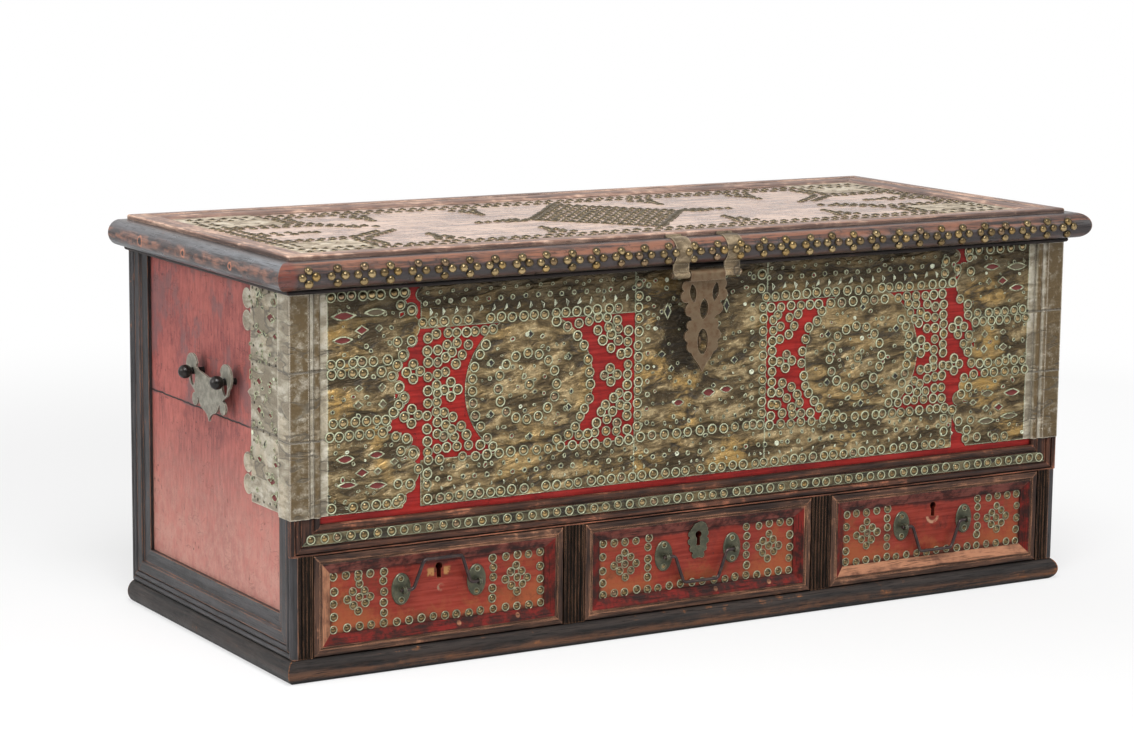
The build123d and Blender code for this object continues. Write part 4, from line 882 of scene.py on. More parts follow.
def stud_finish(name, c, rim_strength=1.0, gold=0.4, dark=0.0, bed=(92, 88, 64)):
    """Brass domes with dirt and painted shade in the groove, painted shade on their upward faces, and pale
    corrosion on the rim.

    A stud's zone is 1 on the dome, 0.5 in the groove and 0 at its outer edge, and its tint is its own chance.
    """
    f = Finish(name)
    zone, tint = f.attribute("zone"), f.attribute("tint")
    other = (tint * 7.31).fraction()
    blotch = f.noise(4 * MM, None, 3.0, 0.6)
    fine = f.noise(1.2 * MM, None, 2.0, 0.6)
    rim = zone.rise(0.38, 0.32) * rim_strength
    groove = zone.rise(0.34, 0.42) * zone.rise(0.62, 0.50)
    # Painted shade: faces that turn upwards are darkened
    dull = f.facing_up().rise(-0.05, 0.40)
    brown = (other * 0.8 + (blotch - 0.5) * 0.8 + dark).rise(0.1, 0.9)
    dome = f.mix(brown, tuple(c.stud), linear(122, 102, 70))
    dome = f.mix(tint.rise(0.80, 0.95) * gold, dome, linear(186, 152, 92))
    dome = f.mix(tint.rise(0.14, 0.04) * 0.6, dome, linear(128, 102, 90))
    dome = f.mix(dull * 0.80, dome, linear(58, 48, 30))
    # Dirt and painted shade in the groove round the dome; the darker studs get more
    colour = f.mix(groove.most(dark * blotch.rise(0.5, 0.3)) * 0.9, dome, tuple(c.stud_dirt_and_shade))
    pale = (rim * (0.50 + other * 0.6) * blotch.rise(0.16, 0.42)).least(1.0)
    colour = f.mix(zone.rise(0.44, 0.34), colour, linear(*bed))
    colour = f.mix(pale, colour, tuple(c.stud_rim))
    rough = 0.24 + 0.34 * groove + 0.28 * pale + 0.12 * (fine - 0.5)
    metal = 0.85 - 0.65 * pale - 0.5 * groove
    return f.surface(colour=colour, rough=rough, metal=metal, normal=f.bump(blotch + fine * 0.4, 0.25 * MM))


def rim_finish(name, c):
    """Turned-up edges of punched holes: pale round the hole, and inside brown dirt, black painted shadow or
    the board's red in painted shade; some are a painted glint all over.
    """
    f = Finish(name)
    zone, tint = f.attribute("zone"), f.attribute("tint")
    blotch = f.noise(3 * MM, None, 3.0, 0.6)
    patch = f.noise(12 * MM, None, 3.0, 0.6)
    inside = zone.rise(0.34, 0.44)
    # Inside: brown dirt, and black painted shadow for the gaps
    colour = f.mix(tint.rise(0.44, 0.46), linear(88, 76, 54), linear(28, 22, 17))
    # The board's red darkened as painted shade inside the larger openings
    colour = f.mix(tint.rise(0.80, 0.82), colour, linear(96, 22, 16))
    # Painted glint: the brightest tints turn the whole rim pale
    painted_glint = tint.rise(0.94, 0.95)
    colour = f.mix(painted_glint, colour, tuple(c.stud_rim))
    ring = f.mix((blotch * 0.8 + patch * 0.7).rise(0.90, 0.58), tuple(c.stud_rim), linear(116, 116, 90))
    colour = f.mix(painted_glint, f.mix(inside, ring, colour), linear(204, 208, 184))
    return f.surface(colour=colour, rough=0.40 + 0.2 * blotch, metal=0.30 - 0.25 * inside,
                     normal=f.bump(blotch, 0.25 * MM))


OUT = Vector((0.0, -1.0, 0.0))
UP = Vector((0.0, 0.0, 1.0))

# Domed studs of the front field: first each row's height, then places along it (mm)
FRONT_ROWS = (
    (477, -541, -527, -514, -497, -485, -473, -455, -439.5),
    (394, -540.5, -528, -512, -498, -482.5, -463.5), (381, -541, -526.5, -511, -497.5, -472),
    (320, -465.5, -478, -493, -508, -524, -538.5), (304, -543.5, -530, -516, -502, -488, -471),
    (214, -541, -511, -495, -479, -465, -450.5),
    (437, -415, -400, -384, -366, -350, -318, -302, -287, -270, -254, -240, -222, -208, -192, -176, -161,
     -143, -129, 101, 115, 132, 149, 166, 183, 200, 215, 233, 251, 269, 290, 304, 320, 338, 357, 376, 394,
     412),
    (263, -407, -390, -357, -339, -322, -305, -288, -268, -250, -232, -215, -197, -178, -163, -144, -125,
     -111, 110, 128, 145, 162, 180, 199, 216, 231, 251, 268, 285, 298, 314, 328, 344, 361, 378, 390, 404),
    (266, -94, -76, -57, -37, -19, -1, 19, 37, 55, 73, 84, 96),
    (214, -407, -389, -377, -362, -346, -333, -316, -302, -286, -267, -236, -219, -202, -187, -168, -152,
     -137, -121, -105, -90, -72, -54, -38, -22, 1, 21, 35, 53, 70, 88, 102, 120, 136, 151, 166, 183, 201,
     216, 233, 250, 265, 281, 297, 317, 334, 353, 372, 385, 400),
    (422, -395, -379, -367, -353, -340, -327, -315, 109, 126, 142, 157, 172, 186, 206, 225, 243, 262, 279,
     296, 320, 334, 349, 365, 380, 394), (480, 438, 456, 475, 493, 512, 533),
    (391, 457, 476, 491, 505, 521, 536), (379, 453, 466, 482, 495, 510, 528, 543),
    (320, 463, 477, 497, 509, 525, 539), (306, 453, 472, 489, 508, 526, 544),
)
# Each column's place along the front, then heights
FRONT_COLUMNS = (
    (-407.5, 352, 335, 320, 303, 288, 274, 247, 233), (-394, 358, 347, 336, 324),
    (-98, 467, 450, 436, 422, 405, 386, 372, 357, 339, 327, 310, 295, 280),
    (-114, 407, 392, 378, 363, 350, 336, 321, 308, 296, 277),
    (97, 423, 408, 392, 375, 358, 341, 325, 310, 296, 280), (93, 467, 449),
    (113, 405, 391, 377, 363, 349, 336, 322, 307, 291, 276), (383, 405, 390, 375, 361, 346, 332, 322),
    (398, 468, 451, 407, 393, 380, 366, 352, 340, 323, 308, 291, 277), (403, 247, 230),
)
# Studs outside the rows and columns, on the red boards and round the medallions: place, then height
FRONT_SINGLES = (
    (-445, 461.5), (-430.5, 454), (-449, 415.5), (-429.5, 416.5), (-442, 399), (-450.5, 387), (-457.5, 374),
    (-447.5, 359), (-440.5, 345), (-447.5, 337), (-454.5, 328), (-452, 298), (-436.5, 294), (-444.5, 278),
    (-428, 274), (-420, 253), (-432.5, 235), (-449, 236.5), (-445.5, 219), (-407.5, 417), (-407.5, 401),
    (-393.5, 401), (-380.5, 407), (-366, 408), (-350, 405), (-406.5, 387), (-392.5, 387), (-382.5, 391),
    (-373, 398), (-358, 393), (-368, 382), (-406.5, 369), (-393.5, 371), (-381.5, 374), (-383.5, 322),
    (-371, 316), (-393.5, 311), (-381.5, 306), (-373, 300), (-360, 302), (-394.5, 295), (-384.5, 292),
    (-369, 290), (-352, 291), (-393.5, 277), (-379.5, 277), (-366, 277), (-348, 278), (-332, 276),
    (-314, 273), (-324, 404), (-333, 392), (-340, 377), (-343, 361), (-343, 345), (-343, 330), (-340, 314),
    (-331, 300), (-322, 284), (-222, 427), (-206, 419), (-190, 406), (-181, 392), (-175, 373), (-171, 357),
    (-170, 341), (-172, 323), (-178, 310), (-185, 300), (-193, 287), (-202, 279), (-219, 274), (-188, 422),
    (-173, 424), (-160, 427), (-146, 426), (-130, 422), (-160, 410), (-144, 414), (-129, 410), (-153, 397),
    (-139, 404), (-128, 396), (-140, 386), (-125, 377), (-126, 326), (-135, 320), (-124, 311), (-148, 312),
    (-154, 303), (-136, 303), (-160, 290), (-144, 293), (-129, 287), (-163, 277), (-145, 278), (-130, 276),
    (-173, 277), (-187, 276), (-261, 348), (121, 412), (139, 407), (154, 411), (125, 396), (148, 394),
    (124, 378), (138, 384), (130, 319), (145, 313), (125, 306), (137, 298), (154, 302), (122, 290),
    (145, 285), (158, 290), (131, 278), (148, 276), (162, 276), (177, 275), (192, 412), (184, 399),
    (171, 391), (166, 375), (162, 359), (160, 343), (164, 326), (168, 312), (173, 302), (183, 290),
    (192, 280), (203, 271), (220, 270), (254, 345), (325, 392), (333, 381), (339, 369), (338, 356),
    (338, 341), (336, 329), (333, 316), (329, 303), (317, 289), (308, 278), (337, 413), (350, 411),
    (369, 410), (340, 400), (357, 399), (348, 391), (369, 392), (356, 384), (369, 376), (373, 321),
    (360, 319), (386, 307), (372, 305), (350, 305), (360, 299), (341, 294), (386, 291), (371, 289),
    (356, 288), (384, 277), (367, 277), (352, 278), (339, 278), (324, 276), (440, 470), (420, 455),
    (442, 451), (411, 437), (426, 413), (440, 405), (440, 390), (443, 362), (433, 350), (441, 338),
    (449, 323), (437, 302), (445, 288), (432, 280), (418, 258), (429, 241), (450, 241), (444, 228),
    (443, 216), (463, 216), (494, 213), (511, 213),
)
# Middles of the groups of four, and of the rosettes that fill the medallions
FOUR_LEAVES = (
    (-428, 377), (-430, 321), (-374, 350), (-140, 351), (135, 348), (360, 351), (424, 374), (418, 322),
)
ROSETTES = ((-264, 346), (250, 345))
LEAF_ASIDE, LEAF_UP = 9.5, 9
ROSETTE_RADIUS, ROSETTE_STUDS = 43, 16


def spaced(start, end, pitch):
    """Even steps from start to end, both counted."""
    count = max(1, round(abs(end - start) / pitch))
    return [start + (end - start) * i / count for i in range(count + 1)]


def ring_places(centre, radius, count, start=0.5):
    """Places round a circle, of which the first stands start steps on, as (x, z) in mm."""
    angles = [math.tau * (i + start) / count for i in range(count)]
    return [(centre[0] + radius * math.cos(angle), centre[1] + radius * math.sin(angle)) for angle in angles]


def front_point(x, z):
    """Point on the front's brass sheets, from mm."""
    return Vector((x * MM, SHEET_FACE, z * MM))


def corner_point(side, back, z):
    """Point on the outer side of a corner's sheets, from mm behind the front and above the ground."""
    return Vector((side * CORNER_SHEET_FACE, FRONT + back * MM, z * MM))


def front_stud_places():
    """Every stud of the front field, as (x, z) in mm."""
    places = [(x, row[0]) for row in FRONT_ROWS for x in row[1:]]
    places += [(column[0], z) for column in FRONT_COLUMNS for z in column[1:]]
    places += FRONT_SINGLES
    for x, z in FOUR_LEAVES:
        places += [(x - LEAF_ASIDE, z), (x + LEAF_ASIDE, z), (x, z + LEAF_UP), (x, z - LEAF_UP)]
    for centre in ROSETTES:
        places += ring_places(centre, ROSETTE_RADIUS, ROSETTE_STUDS, 0.0)
    return places


class CHEST_OT_front_studs(bpy.types.Operator):
    """Domed studs over the brass sheets and the red boards of the front"""
    bl_idname = "chest.front_studs"
    bl_label = "Front Studs"

    def execute(self, context):
        scene = context.scene
        pattern = studded(scene.chest_sizes)
        crowd = Crowd("front_studs", 11)
        for x, z in front_stud_places():
            crowd.stud(pattern, front_point(x, z), OUT, drift=0.8)
        crowd.finish(stud_finish("front_stud_brass", scene.chest_colours), "case", "brass_sheet")
        return {"FINISHED"}


RAIL_ROW_START, RAIL_ROW_END, RAIL_ROW_PITCH, RAIL_ROW_HEIGHT = -571, 573, 18.6, 178.8


class CHEST_OT_rail_studs(bpy.types.Operator):
    """One row of domed studs along the rail above the drawers"""
    bl_idname = "chest.rail_studs"
    bl_label = "Rail Studs"

    def execute(self, context):
        scene = context.scene
        pattern = studded(scene.chest_sizes)
        crowd = Crowd("rail_studs", 12)
        for x in spaced(RAIL_ROW_START, RAIL_ROW_END, RAIL_ROW_PITCH):
            point = Vector((x * MM, RAIL_FACE, RAIL_ROW_HEIGHT * MM))
            crowd.stud(pattern, point, OUT, 0.92, drift=0.9)
        crowd.finish(stud_finish("rail_stud_brass", scene.chest_colours, 0.8), "case", "brass_sheet")
        return {"FINISHED"}


# Openings of the sheets: kind, middle and size (mm). The first are the left end's, mirrored on the right
END_OPENINGS = (
    ("leaf", -524, 453, 28, 9), ("leaf", -480, 455, 26, 8), ("leaf", -525, 423, 24, 8),
    ("diamond", -499, 434, 15, 10), ("diamond", -475, 435, 9, 8), ("diamond", -503, 362, 9, 7),
    ("diamond", -471, 361, 9, 9), ("diamond", -504, 341, 12, 9), ("diamond", -470, 340, 10, 10),
    ("leaf", -522, 275, 22, 9), ("leaf", -479, 277, 18, 8), ("diamond", -499, 256, 16, 10),
    ("diamond", -477, 256, 10, 8), ("diamond", -454, 266, 10, 8), ("leaf", -519, 242, 26, 7),
    ("leaf", -478, 238, 24, 8),
)
CENTRE_OPENINGS = (
    ("leaf", 12, 316, 18, 10), ("leaf", -35, 306, 16, 8), ("leaf", 40, 318, 16, 8),
    ("diamond", -54, 428, 9, 18), ("diamond", 38, 430, 8, 16), ("diamond", -62, 372, 10, 8),
    ("diamond", -47, 352, 8, 8), ("diamond", 52, 356, 9, 9),
)
# Openings on the side of a corner: kind, depth behind the front, height above and below the middle, and size
CORNER_OPENINGS = (
    ("diamond", 70, 102, 24, 12), ("diamond", 104, 80, 16, 8), ("diamond", 58, 80, 14, 8),
    ("leaf", 62, 122, 16, 9), ("diamond", 105, 18, 14, 10), ("diamond", 72, 20, 9, 7),
)
CORNER_MIDDLE, CORNER_HOLES = 345, 70
MEDALLIONS = ((-260, 347), (260, 347))
MEDALLION_NOTCHES, NOTCH_RADIUS = 6, 65.8
# Rings of holes in each rosette: radius and count
ROSETTE_RINGS = ((66, 18), (27, 8), (13, 5))
HOLE_PITCH = 18
# Fields over which small holes are strewn: left, right, bottom and top (mm), and how many are tried
STREWN = (
    (-545, -446, 212, 470, 110), (446, 545, 212, 470, 110), (-90, 90, 210, 474, 190),
    (-322, -202, 288, 410, 60), (195, 308, 288, 410, 60), (-410, -106, 212, 258, 60),
    (106, 410, 212, 258, 60), (-410, -106, 444, 474, 40), (106, 410, 444, 474, 40),
)
STREWN_ROOM = 8.5
# Tints of the rims, which pick what shows inside them: brown dirt, black painted shadow of a gap, the board's
# red darkened as painted shade, or a painted glint over the whole rim
BROWN, SHADOW, SHADED_RED, GLINT = 0.3, 0.6, 0.9, 0.97
# At each step of a row: hole or tooth, its shift along, its height, then its size and the hole's other values
FIELD_STEPS = (
    ("hole", 0, 462, 1.05), ("tooth", 8, 450, 4.8), ("hole", 4, 475, 0.65, 1.2, 15, BROWN),
    ("hole", 0, 238, 1.05), ("tooth", 6, 226, 2.6), ("hole", 6, 251, 0.95, 0.7, 10, SHADOW),
)
CENTRE_STEPS = (
    ("hole", 0, 238), ("tooth", 5, 226, 2.6), ("hole", 0, 470, 0.9), ("hole", 0, 281, 0.95, 0.7, 10, SHADOW),
)


class Rims(Crowd):
    """Turned-up edges of holes and openings in the sheets, with the places that are taken on the front."""

    def __init__(self, name, seed, sizes):
        super().__init__(name, seed)
        self.hole_rim = punched(sizes)
        self.tooth_rim = opening("tooth_rim", 3)
        self.edge_rims = {"leaf": opening("leaf_rim", 14, 1.0), "diamond": opening("diamond_rim", 4)}
        self.taken = front_stud_places()

    def free(self, x, z, room):
        return all(math.hypot(x - u, z - v) > room for u, v in self.taken)

    def hole(self, point, outward, scale=1.0, stretch=1.0, spin=0.0, tint=None):
        self.stud(self.hole_rim, point, outward, scale, 0.8, stretch, spin, 9.0, tint, 0.28)

    def front_hole(self, x, z, scale=1.0, stretch=1.0, spin=0.0, tint=None):
        self.hole(front_point(x, z), OUT, scale, stretch, spin, tint)
        self.taken.append((x, z))

    def tooth(self, x, z, size):
        """Three-cornered flap of metal bent up out of the sheet, coloured all over as a painted glint."""
        squash = Matrix.Diagonal((0.42 * size * MM, size * MM, 1.2, 1.0))
        turn = OUT.to_track_quat("Z", "Y").to_matrix().to_4x4()
        lean = Matrix.Rotation(math.radians(self.chance.uniform(-30, 24)), 4, "Z")
        self.add(self.tooth_rim, Matrix.Translation(front_point(x, z)) @ turn @ lean @ squash, GLINT, 0.5)
        self.taken.append((x, z))

    def edge(self, kind, point, outward, width, height, tint):
        turn = outward.to_track_quat("Z", "Y").to_matrix().to_4x4()
        half_width = width / 2 * MM * self.chance.uniform(0.92, 1.08)
        squash = Matrix.Diagonal((half_width, height / 2 * MM, 1.0, 1.0))
        self.add(self.edge_rims[kind], Matrix.Translation(point) @ turn @ squash, tint, 0.40)

    def front_edge(self, kind, x, z, width, height, tint):
        self.edge(kind, front_point(x, z), OUT, width, height, tint)
        self.taken.append((x, z))


def rim_openings(rims):
    """Edges round the larger openings of the front and of the corners' sides, and the holes beside those."""
    chance = rims.chance
    for kind, x, z, width, height in END_OPENINGS:
        for side in (1, -1):
            tint = SHADED_RED if width > 13 and chance.random() < 0.7 else BROWN
            rims.front_edge(kind, side * x, z, width, height, tint)
    for kind, x, z, width, height in CENTRE_OPENINGS:
        rims.front_edge(kind, x, z, width, height, SHADED_RED if z < 330 else SHADOW)
    for medallion in MEDALLIONS:
        for x, z in ring_places(medallion, NOTCH_RADIUS, MEDALLION_NOTCHES):
            rims.front_edge("diamond", x, z, 9, 9, SHADOW)
    for side in (-1, 1):
        out = Vector((side, 0.0, 0.0))
        for kind, back, up, width, height in CORNER_OPENINGS:
            for z in (CORNER_MIDDLE + up, CORNER_MIDDLE - up):
                rims.edge(kind, corner_point(side, back, z), out, width, height, SHADED_RED)
        for _ in range(CORNER_HOLES):
            point = corner_point(side, chance.uniform(50, 132), chance.uniform(212, 478))
            rims.hole(point, out, chance.uniform(0.6, 1.0), chance.uniform(0.4, 2.2), chance.uniform(0, 180))


def rim_row(rims, left, right, steps):
    for x in spaced(left, right, HOLE_PITCH):
        for kind, shift, z, *more in steps:
            make = rims.tooth if kind == "tooth" else rims.front_hole
            make(x + shift, z, *more)


def rim_rows(rims):
    """Rows, columns and rings of holes between the studs, with the teeth beside them."""
    rim_row(rims, -411, -106, FIELD_STEPS)
    rim_row(rims, 104, 412, FIELD_STEPS)
    for x in (-84, 80):
        for z in spaced(284, 464, HOLE_PITCH):
            rims.front_hole(x, z, 1.05)
    rim_row(rims, -92, 92, CENTRE_STEPS)
    chance = rims.chance
    for centre in ROSETTES:
        for radius, count in ROSETTE_RINGS:
            for x, z in ring_places(centre, radius, count):
                scale, stretch = chance.uniform(0.6, 1.0), chance.uniform(0.6, 1.4)
                rims.front_hole(x, z, scale, stretch, chance.uniform(0, 90))


def strew_rims(rims):
    """Small holes by chance, wherever there is room between the others."""
    chance = rims.chance
    for left, right, bottom, top, count in STREWN:
        for _ in range(count):
            x, z = chance.uniform(left, right), chance.uniform(bottom, top)
            if rims.free(x, z, STREWN_ROOM):
                scale, stretch = chance.uniform(0.5, 0.95), chance.uniform(0.5, 1.6)
                rims.front_hole(x, z, scale, stretch, chance.uniform(0, 180))


class CHEST_OT_punched_rims(bpy.types.Operator):
    """Turned-up edges of the holes and openings in the sheets"""
    bl_idname = "chest.punched_rims"
    bl_label = "Punched Rims"

    def execute(self, context):
        scene = context.scene
        rims = Rims("punched_rims", 21, scene.chest_sizes)
        rim_openings(rims)
        rim_rows(rims)
        strew_rims(rims)
        rims.finish(rim_finish("punched_rim_brass", scene.chest_colours), "case", "brass_sheet")
        return {"FINISHED"}


# Depth of the lid's rounded nose and of the flat behind its round, and the groups of four studs along it:
# reach of their row, pitch, then each stud's shift (mm) and angle on the nose (radians, upwards)
NOSE_DEPTH, NOSE_FLAT = 28 * MM, 8 * MM
EDGE_ROW_REACH, EDGE_GROUP_PITCH = 585, 36.8
EDGE_GROUP = ((-9.2, 0.02), (9.2, 0.02), (0.0, 0.50), (0.0, -0.52))


def nose_point(angle):
    """Point and outward direction on the lid's rounded front edge; angle 0 is its crest, upwards positive."""
    half, depth = (LID_FACE - LID_LOW) / 2, NOSE_DEPTH - NOSE_FLAT
    radius = (half ** 2 + depth ** 2) / (2 * depth)
    centre = Vector((0.0, NOSE_TIP + radius, LID_CREST))
    outward = Vector((0.0, -math.cos(angle), math.sin(angle)))
    return centre + outward * radius, outward


class CHEST_OT_edge_studs(bpy.types.Operator):
    """Plain domes in groups of four along the lid's front edge"""
    bl_idname = "chest.edge_studs"
    bl_label = "Edge Studs"

    def execute(self, context):
        scene = context.scene
        pattern = domed(scene.chest_sizes)
        crowd = Crowd("edge_studs", 31)
        for x in spaced(-EDGE_ROW_REACH, EDGE_ROW_REACH, EDGE_GROUP_PITCH):
            x += crowd.chance.uniform(-1.5, 1.5)
            for shift, angle in EDGE_GROUP:
                point, outward = nose_point(angle + crowd.chance.uniform(-0.04, 0.04))
                point.x = (x + shift) * MM
                crowd.stud(pattern, point, outward, drift=0.4)
        material = stud_finish("edge_stud_brass", scene.chest_colours, 0.0, 0.5, 0.12)
        crowd.finish(material, "lid", "brass_sheet")
        return {"FINISHED"}


# The lid's panel: its middle behind the front, and half the width and depth of the filled diamond on it (mm)
LID_MIDDLE = 248
DIAMOND_HALF_WIDTH, DIAMOND_HALF_DEPTH, DIAMOND_STEPS = 120, 142, 8
# Small arrows: distance from the middle row, and the places across each of their rows
ARROW_ROWS = ((136, (-16, 0, 16)), (122, (-9, 9)), (108, (-5, 7)), (94, (0,)), (81, (0,)))


def lid_stud_places():
    """Studs of the lid's panel, as (x, distance from the front of the lid) in mm."""
    places = []

    def line(start, end, pitch=17.0):
        """Studs from start to end, whose second numbers count from the panel's middle."""
        length = math.dist(start, end)
        for share in spaced(0.0, 1.0, pitch / length):
            x, back = (a + (b - a) * share for a, b in zip(start, end))
            places.append((x, LID_MIDDLE + back))
    for back in (-182, -160, 160, 182):
        line((-540, back), (540, back))
    for side in (-1, 1):
        line((side * 545, -143), (side * 545, 144))
        line((side * 529, -130), (side * 529, 132))
        for up in (-1, 1):
            line((side * 432, up * 100), (side * 432, up * 145))
            line((side * 415, up * 100), (side * 415, up * 145))
            line((side * 515, up * 88), (side * 408, up * 84))
            line((side * 515, up * 70), (side * 420, up * 66))
            line((side * 400, up * 74), (side * 342, up * 24), 14)
            line((side * 408, up * 58), (side * 368, up * 26), 14)
        for up in (1, -1):
            line((side * 515, up * 9), (side * 478, up * 9))
        line((side * 462, 0), (side * 440, 0), 14)
        line((side * 128, 0), (side * 200, 0), 14)
        for up in (1, -1):
            line((side * 136, up * 10), (side * 158, up * 8), 14)
        for arrow in (140, 308):
            x = side * (arrow + (10 if side < 0 else 0))
            for up in (-1, 1):
                for rise, offsets in ARROW_ROWS:
                    places.extend((x + offset, LID_MIDDLE + up * rise) for offset in offsets)
    steps = DIAMOND_STEPS
    for i in range(-steps, steps + 1):
        for j in range(-steps, steps + 1):
            if abs(i) == steps or abs(j) == steps or (i + j) % 2 == 0 or abs(i) == abs(j):
                x = (i - j) * DIAMOND_HALF_WIDTH / (2 * steps)
                back = (i + j) * DIAMOND_HALF_DEPTH / (2 * steps)
                places.append((x, LID_MIDDLE + back))
    return places


class CHEST_OT_lid_studs(bpy.types.Operator):
    """Studs in rows, arrows and a filled diamond on the lid's panel"""
    bl_idname = "chest.lid_studs"
    bl_label = "Lid Studs"

    def execute(self, context):
        scene = context.scene
        pattern = studded(scene.chest_sizes)
        crowd = Crowd("lid_studs", 41)
        for x, back in lid_stud_places():
            crowd.stud(pattern, Vector((x * MM, FRONT + back * MM, LID_FACE)), UP, 0.86, drift=1.0)
        material = stud_finish("lid_stud_brass", scene.chest_colours, 0.10, 0.3, 0.30, (104, 88, 66))
        crowd.finish(material, "lid", "brass_sheet")
        return {"FINISHED"}


# Studs of a drawer front, from the middle of its foot (mm): border columns and rows, and the diamonds' pitch
DRAWER_SIDE, DRAWER_FOOT, DRAWER_HEAD = 148, 61, 128
INNER_COLUMN = 78
DIAMOND_MIDDLE, DIAMOND_HEIGHT, DIAMOND_PITCH = 113, 98, 8.3
EXTRA_STUD = (-113, 123)
# Rivets of a bail's back plates: aside of the drawer's middle, heights, and the plates' thickness (mm)
PLATE_ASIDE, RIVET_HEIGHTS, PLATE = 54, (88.5, 116.5), 1.6


def drawer_stud_places():
    """Studs of a drawer front, from the middle of its panel's lower edge, as (x, z) in mm."""
    places = [(x, DRAWER_FOOT) for x in spaced(-DRAWER_SIDE, DRAWER_SIDE, 17.5)]
    steps = (-1, 0, 1)
    for side in (-1, 1):
        places += [(side * x, DRAWER_HEAD) for x in (DRAWER_SIDE, 131, 114, 97)]
        places += [(side * DRAWER_SIDE, z) for z in (77, 93, 110)]
        places += [(side * INNER_COLUMN, z) for z in (76, 89, 102, 116, DRAWER_HEAD)]
        places += [(side * DIAMOND_MIDDLE + (i - j) * DIAMOND_PITCH, DIAMOND_HEIGHT + (i + j) * DIAMOND_PITCH)
                   for i in steps for j in steps]
    return places


class CHEST_OT_drawer_studs(bpy.types.Operator):
    """Borders and diamonds of studs on the drawer fronts, with the rivets of the bails' back plates"""
    bl_idname = "chest.drawer_studs"
    bl_label = "Drawer Studs"

    def execute(self, context):
        scene = context.scene
        pattern = studded(scene.chest_sizes)
        material = stud_finish("drawer_stud_brass", scene.chest_colours, 0.62, 0.1, 0.45)
        for number, drawer in enumerate(DRAWERS):
            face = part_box(drawer + "_front")[0].y
            middle = middle_and_half(drawer + "_front")[0].x
            studs = Crowd(drawer + "_studs", 51 + number)
            places = drawer_stud_places()
            if drawer == "left_drawer":
                places.append(EXTRA_STUD)
            for x, z in places:
                studs.stud(pattern, Vector((middle + x * MM, face, z * MM)), OUT, 0.84, drift=1.1)
            studs.finish(material, drawer, "brass_sheet")
            rivets = Crowd(drawer + "_plate_rivets", 71 + number)
            for side in (-1, 1):
                for z in RIVET_HEIGHTS:
                    point = Vector((middle + side * PLATE_ASIDE * MM, face - PLATE * MM, z * MM))
                    rivets.stud(pattern, point, OUT, 0.62, drift=0.8)
            rivets.finish(material, drawer, "brass_sheet")
        return {"FINISHED"}


# Nails of a corner's sheets (mm): depths of the two columns behind the front, and heights of the rows
OUTER_COLUMN, FOLD_COLUMN = 122, 48
NAIL_ROWS = (212, 302, 388, 478)


class CHEST_OT_sheet_nails(bpy.types.Operator):
    """Small nails that hold the sheets folded round the corners"""
    bl_idname = "chest.sheet_nails"
    bl_label = "Sheet Nails"

    def execute(self, context):
        pattern = nail(context.scene.chest_sizes)
        crowd = Crowd("sheet_nails", 61)
        chance = crowd.chance
        for side in (-1, 1):
            out = Vector((side, 0.0, 0.0))
            for z in spaced(214, 478, 24):
                crowd.stud(pattern, corner_point(side, OUTER_COLUMN + chance.uniform(-4, 2), z), out)
                crowd.stud(pattern, corner_point(side, FOLD_COLUMN + chance.uniform(-2, 2), z), out)
            for back in spaced(58, 112, 18):
                for z in NAIL_ROWS:
                    crowd.stud(pattern, corner_point(side, back, z + chance.uniform(-2, 2)), out)
        iron = old_metal("nail_iron", linear(90, 84, 70), linear(60, 54, 46), linear(190, 186, 166), 0.7, 0.4)
        crowd.finish(iron, "case", "iron")
        return {"FINISHED"}


# ---- stage --------------------------------------------------------------------------------------------
# Lamps: name, place, target, size and power
LAMPS = (
    ("key_lamp", (-1.2, -1.9, 3.0), (0.0, 0.0, 0.2), 1.6, 128.0),
    ("side_lamp", (-3.4, 0.4, 1.5), (-0.4, 0.0, 0.3), 1.8, 46.0),
    ("fill_lamp", (2.6, -2.8, 1.6), (0.2, 0.0, 0.3), 2.0, 26.0),
)
CAMERA_PLACE = (-2.18966, -3.54022, 1.00149)
CAMERA_TURN, CAMERA_HEIGHT, CAMERA_ROLL = math.radians(-30.96), math.radians(9.56), math.radians(0.58)
CAMERA_LENS, CAMERA_SENSOR = 97.19, 36.0
FLOOR_HALF = 14.0
WHITE = (1.0, 1.0, 1.0)


def floor_paint(c):
    """Pale floor that takes a soft shadow near the chest and fades into the white background."""
    f = Finish("studio_floor_paint")
    rays = f.node("LightPath").outputs
    seen = Shade(f, rays["Is Camera Ray"]).most(rays["Is Transmission Ray"])
    # Painted light: the floor glows more away from the chest and towards its right, which pales the lamps'
    # shadow there
    away = distance(f.x, f.y).rise(0.9, 2.5).most(f.x.rise(0.40, 1.10) * 0.8)
    colour = f.mix(f.noise(0.5) * 0.1, tuple(c.floor), (0.78, 0.78, 0.78))
    paint = f.node("BsdfDiffuse", None, {"Color": colour}).outputs[0]
    glow = f.node("Emission", None, {"Color": WHITE, "Strength": 1.0}).outputs[0]
    both = f.node("MixShader", None, {0: seen * (0.62 + 0.38 * away), 1: paint, 2: glow})
    f.node("OutputMaterial", None, {"Surface": both.outputs[0]})
    return f.material


def studio_world():
    """White background, with brighter walls behind, to the left and above for the metals to mirror."""
    f = Finish("studio_world", "worlds")
    rays = f.node("LightPath").outputs
    camera = Shade(f, rays["Is Camera Ray"])
    glossy = Shade(f, rays["Is Glossy Ray"]).most(rays["Is Transmission Ray"])
    behind, left, above = f.y.rise(-0.05, 0.45), f.x.rise(-0.35, -0.80), f.z.rise(0.15, 0.70)
    walls = 0.20 + 0.80 * behind.most(left * 0.5).most(above * 0.9)
    strength = camera.most(glossy * walls).most(0.30 * (1.0 - glossy)).most(0.10)
    sky = f.node("Background", None, {"Color": WHITE, "Strength": strength})
    f.node("OutputWorld", None, {"Surface": sky.outputs[0]})
    return f.material


